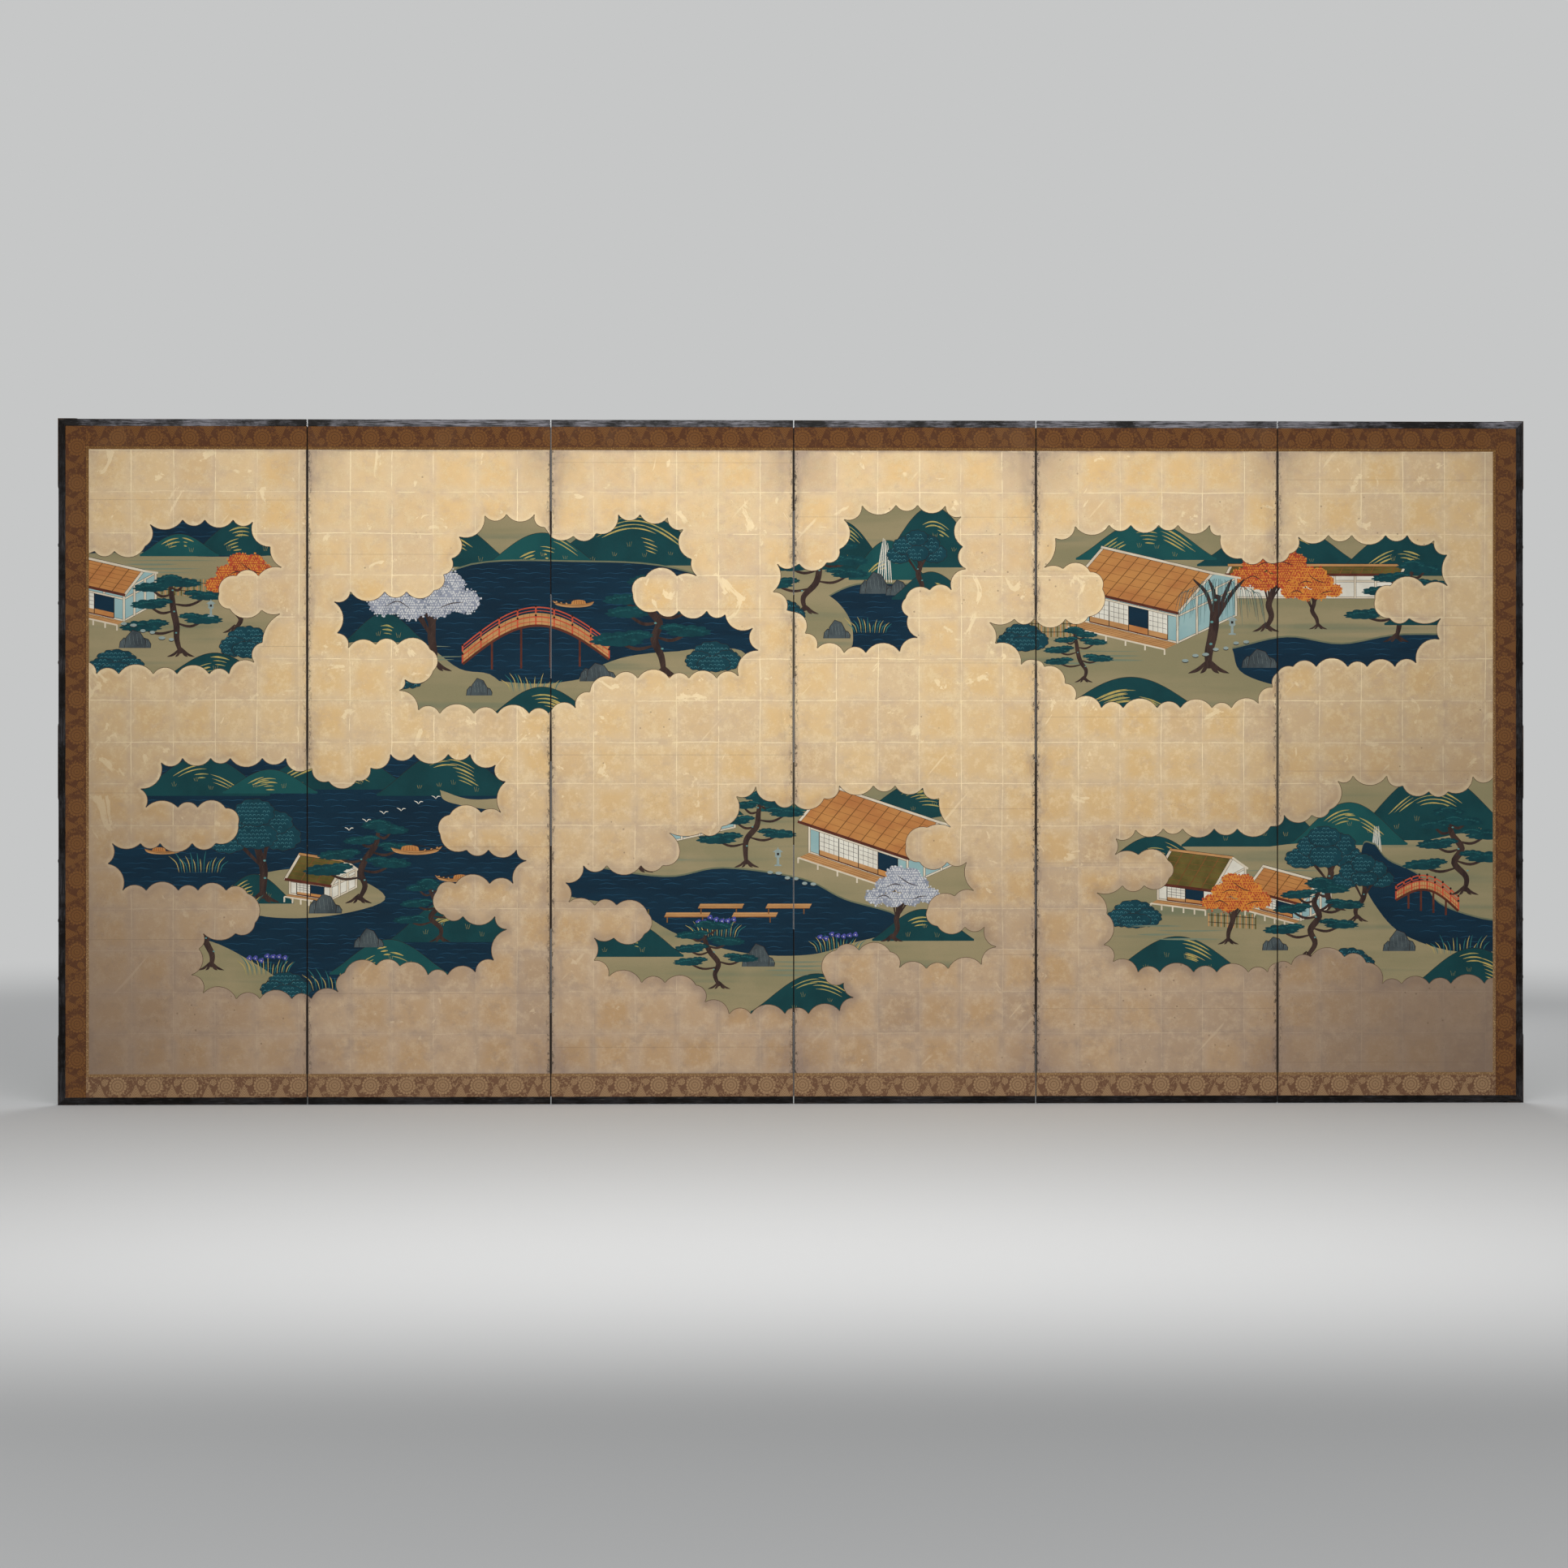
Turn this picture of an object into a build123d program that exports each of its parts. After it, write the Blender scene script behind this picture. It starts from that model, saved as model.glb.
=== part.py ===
from build123d import *
import os
from math import asin, atan2, cos, degrees, hypot, radians, sin, tan

os.makedirs("parts", exist_ok=True)

# A six-panel byobu, the Japanese standing screen: cedar lattice boards skinned with paper,
# a lacquered frame round the whole, and paper hinges that let every fold open both ways.
#
# Frame: +X runs along the open screen, the painted fronts face -Y, and +Z is up. The origin
# is on the floor under the middle fold, halfway through the screen's depth.

# ---- The boards ----
panel_count = 6
inner_board_width = 615.0
end_board_width = 610.0
board_height = 1704.0
fold_gap = 3.0
core_depth = 15.0
paper_thickness = 1.0
edge_paper_thickness = 0.5

# ---- The lattice inside each board ----
stick_width = 30.0
bar_width = 12.0
inner_columns = 3
inner_rows = 6
joint_play = 0.1

# ---- The gold clouds and the cloth borders, laid on the painting ----
leaf_thickness = 0.4
brocade_width = 52.0
brocade_thickness = 0.5
inner_strip_width = 7.0
inner_strip_thickness = 0.6
lobe_sizes = (60.0, 82.0, 50.0, 72.0, 56.0, 88.0)
lobe_lean = 58.0
lobe_share_of_tip = 0.44
lobe_cuts = 3

# ---- The lacquered frame ----
frame_face = 18.0
frame_proud = 1.5
frame_chamfer = 1.2

# ---- The paper hinges ----
tongue_count = 8
tongue_thickness = 0.9
tongue_side_clearance = 0.3
tongue_end_clearance = 0.6

# ---- The metal fittings on the two outer edges ----
plate_thickness = 1.5
plate_inset = 1.0
corner_plate_side = 176.0
corner_plate_top = 47.0
middle_plate_length = 193.0
plate_point = 6.0
stud_radius = 7.5
stud_height = 3.0
shank_width = 3.2
shank_length = 12.0
shank_clearance = 0.05
stud_distances = (252.0, 403.0, 550.0)

# ---- Windows between the clouds ----
# A window is a few clear bands less the banks of cloud that drift into it. Each is given as
# (centre x, centre z, length, height). Two windows run on under the border at the ends.
nook_rounding = 30.0
cloud_windows = (
    (
        ((-1700, 1310, 820, 270), (-1600, 1180, 500, 170), (-1500, 1415, 340, 140)),
        ((-1270, 1300, 380, 88), (-1740, 1455, 220, 100)),
    ),
    (
        ((-680, 1250, 980, 260), (-560, 1400, 600, 200), (-760, 1090, 500, 190), (-310, 1165, 440, 160)),
        ((-1100, 1345, 420, 84), (-220, 1300, 380, 90), (-1030, 1125, 240, 90), (-560, 1500, 170, 110)),
    ),
    (
        ((190, 1345, 500, 220), (280, 1455, 320, 140), (175, 1225, 300, 150)),
        ((0, 1430, 240, 110), (400, 1270, 240, 80)),
    ),
    (
        ((1080, 1230, 1160, 230), (950, 1370, 620, 210), (1440, 1360, 480, 180), (960, 1095, 540, 170)),
        ((590, 1300, 400, 130), (1190, 1450, 200, 120), (1665, 1280, 360, 84)),
    ),
    (
        ((-1210, 620, 1060, 280), (-1370, 780, 580, 200), (-960, 795, 460, 190), (-1120, 450, 780, 240),
         (-1330, 345, 400, 150)),
        ((-1650, 710, 480, 92), (-690, 695, 420, 96), (-1150, 880, 160, 120), (-1570, 490, 420, 110),
         (-750, 520, 330, 84), (-1060, 310, 180, 90)),
    ),
    (
        ((-60, 560, 1040, 260), (110, 705, 580, 210), (-150, 415, 740, 210), (300, 425, 440, 160),
         (-40, 305, 400, 150)),
        ((-480, 650, 380, 86), (450, 660, 330, 90), (-530, 465, 330, 84), (490, 490, 300, 80),
         (170, 350, 200, 84), (10, 815, 170, 100)),
    ),
    (
        ((1340, 570, 1140, 260), (1600, 730, 740, 210), (1080, 425, 580, 180), (1640, 405, 560, 200)),
        ((790, 595, 350, 80), (1250, 800, 290, 130), (1370, 312, 230, 124), (1640, 850, 200, 110)),
    ),
)

# ---- Worked-out places ----
paper_face = core_depth / 2 + paper_thickness
frame_reach = paper_face + frame_proud
frame_bottom = plate_thickness
board_bottom = frame_bottom + frame_face
frame_top = board_bottom + board_height + frame_face
middle_height = (frame_bottom + frame_top) / 2
panel_pitch = inner_board_width + fold_gap
fold_places = [(index - (panel_count - 2) / 2) * panel_pitch for index in range(panel_count - 1)]
outer_reach = fold_places[-1] + fold_gap / 2 + end_board_width + frame_face
border_width = brocade_width + inner_strip_width
plate_width = 2 * (frame_reach - plate_inset)


def save(piece, name):
    """Label a finished piece and write it as a node of its own."""
    piece.part.label = name
    export_step(piece.part, f"parts/{name}.step")


def panel_edges(index, inset):
    """Left, right, bottom and top of a panel, inset from the frame's outside. No inset at a fold."""
    left = -outer_reach + inset if index == 0 else fold_places[index - 1] + fold_gap / 2
    at_right_end = index == panel_count - 1
    right = outer_reach - inset if at_right_end else fold_places[index] - fold_gap / 2
    return left, right, frame_bottom + inset, frame_top - inset


def strip_corners(index, side, inset, width):
    """Corners of one strip along a panel's side, mitred where it turns the screen's corner."""
    left, right, bottom, top = panel_edges(index, inset)
    inner_left, inner_right, inner_bottom, inner_top = panel_edges(index, inset + width)
    outer = {"top": top, "bottom": bottom, "left": left, "right": right}[side]
    inner = {"top": inner_top, "bottom": inner_bottom, "left": inner_left, "right": inner_right}[side]
    if side in ("top", "bottom"):
        return [(left, outer), (right, outer), (inner_right, inner), (inner_left, inner)]
    return [
        (outer, bottom + joint_play),
        (outer, top - joint_play),
        (inner, inner_top - joint_play),
        (inner, inner_bottom + joint_play),
    ]


def panel_sides(index):
    """The sides of a panel that carry a border: top, bottom, and the outer side at either end."""
    sides = ["top", "bottom"]
    if index == 0:
        sides.append("left")
    if index == panel_count - 1:
        sides.append("right")
    return sides


def evenly(first, last, count):
    """Places that share the stretch between first and last, without the ends."""
    return [first + (last - first) * step / (count + 1) for step in range(1, count + 1)]


def lobe_cusps(clear_bands, cloud_banks):
    """Cusps anticlockwise round a window, one lobe of cloud apart, in a repeating run of sizes."""
    with BuildSketch() as window:
        for x, z, length, height in clear_bands:
            with Locations((x, z)):
                SlotOverall(length, height)
        for x, z, length, height in cloud_banks:
            with Locations((x, z)):
                SlotOverall(length, height, mode=Mode.SUBTRACT)
        # Growing and shrinking again rounds the nooks between the bands.
        offset(amount=nook_rounding)
        offset(amount=-nook_rounding)
    rim = window.face().outer_wire()
    distances = [0.0]
    while distances[-1] < rim.length:
        distances.append(distances[-1] + lobe_sizes[len(distances) % len(lobe_sizes)])
    stretch = rim.length / distances[-1]
    return [
        rim.position_at(distance * stretch, position_mode=PositionMode.LENGTH)
        for distance in distances[:-1]
    ]


def angle_inside(before, cusp, after):
    """Angle that a window has at a cusp, in degrees, for cusps that run anticlockwise."""
    arriving = cusp - before
    leaving = after - cusp
    turn = arriving.get_angle(leaving)
    return 180 - turn if arriving.cross(leaving).Z > 0 else 180 + turn


def window_outline(clear_bands, cloud_banks):
    """Outline of a window. Each lobe is an arc taken in a few straight cuts, flatter at a sharp tip."""
    cusps = lobe_cusps(clear_bands, cloud_banks)
    count = len(cusps)
    angles = [angle_inside(cusps[i - 1], cusps[i], cusps[(i + 1) % count]) for i in range(count)]
    outline = []
    for i in range(count):
        start, end = cusps[i], cusps[(i + 1) % count]
        tightest = min(angles[i], angles[(i + 1) % count])
        lean = min(lobe_lean, lobe_share_of_tip * tightest)
        lobe = SagittaArc(start, end, (end - start).length / 2 * tan(radians(lean / 2)))
        outline += [lobe @ (cut / lobe_cuts) for cut in range(lobe_cuts)]
    return outline


window_outlines = [window_outline(*window) for window in cloud_windows]


def make_core(index):
    """Four sticks half-lapped at the corners round a grid of thin bars, half-lapped where they cross."""
    left, right, bottom, top = panel_edges(index, frame_face)
    left += edge_paper_thickness
    right -= edge_paper_thickness
    width = right - left
    middle = (left + right) / 2
    inner_width = width - 2 * stick_width - 2 * joint_play
    inner_height = board_height - 2 * stick_width - 2 * joint_play
    columns = evenly(left + stick_width, right - stick_width, inner_columns)
    rows = evenly(bottom + stick_width, top - stick_width, inner_rows)
    end_sticks = (bottom + stick_width / 2, top - stick_width / 2)
    side_sticks = (left + stick_width / 2, right - stick_width / 2)
    half_lap = (core_depth - joint_play) / 2
    front = Plane.XZ.offset(core_depth / 2)
    back = Plane.XZ.offset(-core_depth / 2)
    with BuildPart() as core:
        # Upright pieces run through behind, and are halved in front where a cross piece passes.
        with BuildSketch(front):
            with Locations(*[(x, middle_height) for x in side_sticks]):
                Rectangle(stick_width, board_height)
            with Locations(*[(x, middle_height) for x in columns]):
                Rectangle(bar_width, inner_height)
        extrude(amount=-core_depth)
        with BuildSketch(front):
            with Locations(*[(middle, z) for z in end_sticks]):
                Rectangle(width, stick_width + 2 * joint_play)
            with Locations(*[(middle, z) for z in rows]):
                Rectangle(inner_width, bar_width + 2 * joint_play)
        extrude(amount=-half_lap - joint_play, mode=Mode.SUBTRACT)
        # Cross pieces run through in front, and are halved behind where an upright passes.
        with BuildSketch(front):
            with Locations(*[(middle, z) for z in end_sticks]):
                Rectangle(width, stick_width)
            with Locations(*[(middle, z) for z in rows]):
                Rectangle(inner_width, bar_width)
        extrude(amount=-half_lap)
        with BuildSketch(back):
            with Locations(*[(middle, z) for z in end_sticks]):
                Rectangle(width, stick_width)
            with Locations(*[(middle, z) for z in rows]):
                Rectangle(inner_width, bar_width)
            with Locations(*[(x, middle_height) for x in side_sticks]):
                Rectangle(stick_width + 2 * joint_play, board_height, mode=Mode.SUBTRACT)
            with Locations(*[(x, middle_height) for x in columns]):
                Rectangle(bar_width + 2 * joint_play, inner_height, mode=Mode.SUBTRACT)
        extrude(amount=half_lap + joint_play)
    return core


def make_painting(index):
    """The painting on its linings: a sheet over the front, turned back along both side edges."""
    left, right, bottom, _ = panel_edges(index, frame_face)
    width = right - left
    middle = (left + right) / 2
    with BuildPart() as painting:
        with BuildSketch(Plane.XY.offset(bottom)):
            with Locations((middle, -paper_thickness / 2)):
                Rectangle(width, core_depth + paper_thickness)
            with Locations((middle, 0)):
                Rectangle(width - 2 * edge_paper_thickness, core_depth, mode=Mode.SUBTRACT)
        extrude(amount=board_height)
    return painting


def make_back_paper(index):
    """The patterned back paper on its linings."""
    left, right, _, _ = panel_edges(index, frame_face)
    with BuildPart() as back_paper:
        with BuildSketch(Plane.XZ.offset(-core_depth / 2)):
            with Locations(((left + right) / 2, middle_height)):
                Rectangle(right - left, board_height)
        extrude(amount=-paper_thickness)
    return back_paper


def make_gold_clouds(index):
    """The raised layer of gold leaf, cut away where the painting shows between the clouds."""
    left, right, bottom, top = panel_edges(index, frame_face + border_width)
    with BuildPart() as gold_clouds:
        with BuildSketch(Plane.XZ.offset(paper_face)):
            with Locations(((left + right) / 2, (bottom + top) / 2)):
                Rectangle(right - left, top - bottom)
            for outline in window_outlines:
                with BuildLine():
                    Polyline(*outline, close=True)
                make_face(mode=Mode.SUBTRACT)
        extrude(amount=leaf_thickness)
    return gold_clouds


def make_brocade(index):
    """The wide brocade border and the narrow strip inside it, each side a piece of its own."""
    with BuildPart() as brocade:
        for side in panel_sides(index):
            with BuildSketch(Plane.XZ.offset(paper_face)):
                with BuildLine():
                    Polyline(*strip_corners(index, side, frame_face, brocade_width - joint_play), close=True)
                make_face()
            extrude(amount=brocade_thickness)
            inner_inset = frame_face + brocade_width
            with BuildSketch(Plane.XZ.offset(paper_face)):
                with BuildLine():
                    Polyline(*strip_corners(index, side, inner_inset, inner_strip_width), close=True)
                make_face()
            extrude(amount=inner_strip_thickness)
    return brocade


def make_frame_member(index, side):
    """One rail or stile of the lacquered frame, its long edges chamfered, its outer ends mitred."""
    grain = Axis.Z if side in ("left", "right") else Axis.X
    with BuildPart() as member:
        with BuildSketch(Plane.XZ):
            with BuildLine():
                Polyline(*strip_corners(index, side, 0, frame_face), close=True)
            make_face()
        extrude(amount=frame_reach, both=True)
        chamfer(member.edges().filter_by(grain), frame_chamfer)
    return member


def make_tongues(fold_place, first, slant):
    """Every second tongue of a fold's paper hinge, slanting from one board's front to the next's back."""
    pitch = board_height / tongue_count
    half_step = fold_gap / 2 - tongue_side_clearance - tongue_thickness / 2
    angle = slant * degrees(atan2(paper_face, half_step))
    with BuildPart() as tongues:
        for number in range(first, tongue_count, 2):
            with BuildSketch(Plane.XY.offset(board_bottom + number * pitch + tongue_end_clearance / 2)):
                with Locations((fold_place, 0)):
                    Rectangle(2 * hypot(half_step, paper_face), tongue_thickness, rotation=angle)
            extrude(amount=pitch - tongue_end_clearance)
    return tongues


def stud_planes(side):
    """A plane on the stile's outer face at each stud, facing outwards."""
    heights = [middle_height + sign * distance for distance in stud_distances for sign in (-1, 1)]
    return [Plane((side * outer_reach, 0, z), x_dir=(0, side, 0), z_dir=(side, 0, 0)) for z in heights]


def make_stile(index, side):
    """A stile of the frame, cut with square holes for the shanks of its studs."""
    with BuildPart() as stile:
        add(make_frame_member(index, "left" if side < 0 else "right").part)
        for face in stud_planes(side):
            with BuildSketch(face):
                Rectangle(shank_width + 2 * shank_clearance, shank_width + 2 * shank_clearance)
            extrude(amount=-shank_length, mode=Mode.SUBTRACT)
    return stile


def make_studs(side):
    """Domed studs on square shanks, their heads seated on the stile's outer face."""
    dome_radius = (stud_radius**2 + stud_height**2) / (2 * stud_height)
    dome_centre = stud_height - dome_radius
    half_angle = asin(stud_radius / dome_radius) / 2
    halfway = (dome_radius * sin(half_angle), dome_centre + dome_radius * cos(half_angle))
    with BuildPart() as studs:
        for face in stud_planes(side):
            with BuildSketch(Plane(face.origin, x_dir=face.x_dir, z_dir=-face.y_dir)):
                with BuildLine():
                    Polyline((0, stud_height), (0, 0), (stud_radius, 0))
                    ThreePointArc((stud_radius, 0), halfway, (0, stud_height))
                make_face()
            revolve(axis=Axis(face.origin, face.z_dir))
            with BuildSketch(face):
                Rectangle(shank_width, shank_width)
            extrude(amount=joint_play - shank_length)
    return studs


def make_edge_plates(side):
    """Two angle plates that wrap the frame's corners and a plate between them, on one outer edge."""
    outward = Vector(side, 0, 0)
    up = Vector(0, 0, 1)
    legs = []
    for height, away in ((frame_top, up), (frame_bottom, -up)):
        corner = Vector(side * outer_reach, 0, height)
        legs.append((Plane(corner, x_dir=outward.cross(away), z_dir=outward), corner_plate_side))
        legs.append((Plane(corner, x_dir=away.cross(outward), z_dir=away), corner_plate_top))
    middle_face = Plane((side * outer_reach, 0, middle_height), x_dir=(0, side, 0), z_dir=outward)
    with BuildPart() as edge_plates:
        # Each leg starts just round the corner, and narrows to a blunt point.
        for face, length in legs:
            with BuildSketch(face):
                with Locations((0, (length - plate_thickness) / 2)):
                    leg = Rectangle(plate_width, length + plate_thickness)
                chamfer(leg.vertices().group_by(Axis.Y)[-1], plate_point)
            extrude(amount=plate_thickness)
        with BuildSketch(middle_face):
            middle = Rectangle(plate_width, middle_plate_length)
            chamfer(middle.vertices(), plate_point)
        extrude(amount=plate_thickness)
    return edge_plates


for index in range(panel_count):
    panel = f"panel_{index + 1}"
    save(make_core(index), f"{panel}_core")
    save(make_painting(index), f"{panel}_painting")
    save(make_back_paper(index), f"{panel}_back_paper")
    save(make_gold_clouds(index), f"{panel}_gold_clouds")
    save(make_brocade(index), f"{panel}_brocade")
    save(make_frame_member(index, "top"), f"{panel}_top_rail")
    save(make_frame_member(index, "bottom"), f"{panel}_bottom_rail")

for number, place in enumerate(fold_places, start=1):
    save(make_tongues(place, first=0, slant=1), f"fold_{number}_tongues_front_to_back")
    save(make_tongues(place, first=1, slant=-1), f"fold_{number}_tongues_back_to_front")

for name, side, index in (("left", -1, 0), ("right", 1, panel_count - 1)):
    save(make_stile(index, side), f"{name}_stile")
    save(make_studs(side), f"{name}_studs")
    save(make_edge_plates(side), f"{name}_edge_plates")
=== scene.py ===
from math import atan2, cos, hypot, pi, radians, sin
from random import Random

import bmesh
import bpy
import numpy as np
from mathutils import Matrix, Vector
from mathutils.geometry import delaunay_2d_cdt, tessellate_polygon


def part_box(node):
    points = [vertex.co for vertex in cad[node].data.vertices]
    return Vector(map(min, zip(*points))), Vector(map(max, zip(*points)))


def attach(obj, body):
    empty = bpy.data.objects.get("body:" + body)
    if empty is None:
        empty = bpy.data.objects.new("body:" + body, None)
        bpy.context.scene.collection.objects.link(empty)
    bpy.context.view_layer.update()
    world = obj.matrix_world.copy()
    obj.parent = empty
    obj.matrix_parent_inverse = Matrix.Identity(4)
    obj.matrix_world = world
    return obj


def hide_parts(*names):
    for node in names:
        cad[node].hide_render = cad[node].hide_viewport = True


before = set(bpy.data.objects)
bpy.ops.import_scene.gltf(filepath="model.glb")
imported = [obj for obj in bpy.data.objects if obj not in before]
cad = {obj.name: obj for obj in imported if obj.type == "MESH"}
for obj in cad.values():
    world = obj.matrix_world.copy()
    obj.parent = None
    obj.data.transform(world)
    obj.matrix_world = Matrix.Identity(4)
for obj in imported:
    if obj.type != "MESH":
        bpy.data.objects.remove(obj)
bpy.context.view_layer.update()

# The screen stands open along X with its painted fronts towards -Y. Places on the painting are
# written in millimetres as (x, z), with z up from the floor, as a painter would set them out.
MM = 0.001
PANELS = 6

# ---- Sizes read from the fixed frame ----
paper_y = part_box("panel_1_painting")[0].y
gold_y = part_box("panel_1_gold_clouds")[0].y
brocade_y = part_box("panel_2_brocade")[0].y
panel_boxes = [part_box(f"panel_{n}_painting") for n in range(1, PANELS + 1)]
gold_boxes = [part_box(f"panel_{n}_gold_clouds") for n in range(1, PANELS + 1)]
gold_bottom, gold_top = gold_boxes[0][0].z, gold_boxes[0][1].z

# ---- The gold ----
LEAF_PITCH = 0.106
LOBE_STEPS = 9
LOBE_TURN = (radians(8), radians(46))
EVEN_CUTS = 0.01
GOLD_GRID = 0.021
OUTLINE_WIDTH = 0.0013
LINE_LIFT = 0.00002
# Points closer than this to a line count as on it, and an edge that isn't there counts as FAR away.
TOUCH = 2e-5
FAR = 1.0
# How sooty each panel is, from left to right, and how far its outer side counts as from a fold.
GRIME = (0.55, 0.85, 0.85, 1.0, 1.0, 0.8)
FOLD_FREE = 0.016

# ---- The painting ----
# All the coats together are this thick, in metres.
PAINT_DEPTH = 0.00034
# The area in which coats are counted, in millimetres to each side of the middle and up, and its cells.
PAINTED_HALF, PAINTED_TALL = 2000, 1800
CELL = 5.0


def linear(code):
    """A colour written as six hex digits, as the linear values that Blender's sockets take."""
    values = [int(code[i : i + 2], 16) / 255 for i in (0, 2, 4)]
    return (*[v / 12.92 if v <= 0.04045 else ((v + 0.055) / 1.055) ** 2.4 for v in values], 1.0)


# ======================================================================================
# Materials
# ======================================================================================
# A Mix node's sockets for colours: factor, first and second colour, and the result.
MIX_FACTOR, MIX_FIRST, MIX_SECOND, MIX_RESULT = 0, 6, 7, 2


def arithmetic(operation, swapped=False):
    """How a Value meets another value or a plain number: as a maths node of the given operation."""
    def join(self, other):
        first, second = (other, self) if swapped else (self, other)
        return self.shader.math(operation, first, second)
    return join


class Value:
    """What comes out of a node. Adding, multiplying and so on add maths nodes to its tree."""

    def __init__(self, shader, socket):
        self.shader, self.socket = shader, socket

    __add__, __radd__ = arithmetic("ADD"), arithmetic("ADD", True)
    __sub__, __rsub__ = arithmetic("SUBTRACT"), arithmetic("SUBTRACT", True)
    __mul__, __rmul__ = arithmetic("MULTIPLY"), arithmetic("MULTIPLY", True)
    __truediv__ = arithmetic("DIVIDE")

    def __abs__(self):
        return self.shader.math("ABSOLUTE", self)


class Shader:
    """A material's node tree, built one node at a time."""

    def __init__(self, name, roughness=0.6, metallic=0.0, specular=0.25):
        self.material = bpy.data.materials.new(name)
        self.material.use_nodes = True
        self.tree = self.material.node_tree
        self.surface = self.tree.nodes["Principled BSDF"]
        self.surface.inputs["Roughness"].default_value = roughness
        self.surface.inputs["Metallic"].default_value = metallic
        self.surface.inputs["Specular IOR Level"].default_value = specular
        coordinates = self.node("ShaderNodeTexCoord")
        self.place = Value(self, coordinates.outputs["Object"])
        self.normal = Value(self, coordinates.outputs["Normal"])

    def node(self, kind, **settings):
        made = self.tree.nodes.new(kind)
        for key, value in settings.items():
            setattr(made, key, value)
        return made

    def put(self, socket, value):
        """Feed a socket: another node's output, a colour as six hex digits, or a constant."""
        if isinstance(value, Value):
            value = value.socket
        if isinstance(value, bpy.types.NodeSocket):
            self.tree.links.new(value, socket)
        else:
            socket.default_value = linear(value) if isinstance(value, str) else value

    def math(self, operation, *values, clamp=False):
        made = self.node("ShaderNodeMath", operation=operation, use_clamp=clamp)
        for socket, value in zip(made.inputs, values):
            self.put(socket, value)
        return Value(self, made.outputs[0])

    def mix(self, factor, first, second):
        made = self.node("ShaderNodeMix", data_type="RGBA")
        for number, value in ((MIX_FACTOR, factor), (MIX_FIRST, first), (MIX_SECOND, second)):
            self.put(made.inputs[number], value)
        return Value(self, made.outputs[MIX_RESULT])

    def split(self, vector):
        made = self.node("ShaderNodeSeparateXYZ")
        self.put(made.inputs[0], vector)
        return [Value(self, out) for out in made.outputs]

    def vector(self, x=0.0, y=0.0, z=0.0):
        made = self.node("ShaderNodeCombineXYZ")
        for socket, value in zip(made.inputs, (x, y, z)):
            self.put(socket, value)
        return Value(self, made.outputs[0])

    def stretch(self, scale, vector=None):
        """Coordinates multiplied by a scale for each axis."""
        made = self.node("ShaderNodeVectorMath", operation="MULTIPLY")
        self.put(made.inputs[0], self.place if vector is None else vector)
        made.inputs[1].default_value = scale
        return Value(self, made.outputs[0])

    def noise(self, scale=1.0, vector=None, detail=3.0, roughness=0.55, distortion=0.0):
        made = self.node("ShaderNodeTexNoise")
        self.put(made.inputs["Vector"], self.place if vector is None else vector)
        for name, value in (("Scale", scale), ("Detail", detail), ("Roughness", roughness),
                            ("Distortion", distortion)):
            made.inputs[name].default_value = value
        return Value(self, made.outputs[0])

    def voronoi(self, scale):
        made = self.node("ShaderNodeTexVoronoi")
        self.put(made.inputs["Vector"], self.place)
        made.inputs["Scale"].default_value = scale
        return Value(self, made.outputs[0])

    def random(self, vector):
        made = self.node("ShaderNodeTexWhiteNoise", noise_dimensions="3D")
        self.put(made.inputs["Vector"], vector)
        return Value(self, made.outputs[0])

    def attribute(self, name):
        return self.node("ShaderNodeAttribute", attribute_name=name)

    def between(self, value, low, high):
        """0 below low, 1 above high and a smooth step between them. low may be the larger."""
        made = self.node("ShaderNodeMapRange", interpolation_type="SMOOTHSTEP")
        for number, given in enumerate((value, low, high, 0.0, 1.0)):
            self.put(made.inputs[number], given)
        return Value(self, made.outputs[0])

    def colour(self, value):
        self.put(self.surface.inputs["Base Color"], value)

    def rough(self, value, low, high):
        """Roughness from low to high as value goes from 0 to 1."""
        made = self.node("ShaderNodeMapRange")
        for number, given in enumerate((value, 0.0, 1.0, low, high)):
            self.put(made.inputs[number], given)
        self.put(self.surface.inputs["Roughness"], made.outputs[0])

    def bump(self, height, distance, strength=1.0):
        made = self.node("ShaderNodeBump")
        self.put(made.inputs["Height"], height)
        made.inputs["Distance"].default_value = distance
        made.inputs["Strength"].default_value = strength
        self.put(self.surface.inputs["Normal"], made.outputs[0])


# How tall the sheets are that the painting and the back are pasted from.
SHEET_TALL, BACK_SHEET_TALL = 0.372, 0.43
# The width of one printed wave on the back.
WAVE_SIZE = 0.075
# Where the bright lap of one leaf over the next ends, in shares of a leaf.
LAP = 0.023, 0.016


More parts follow.
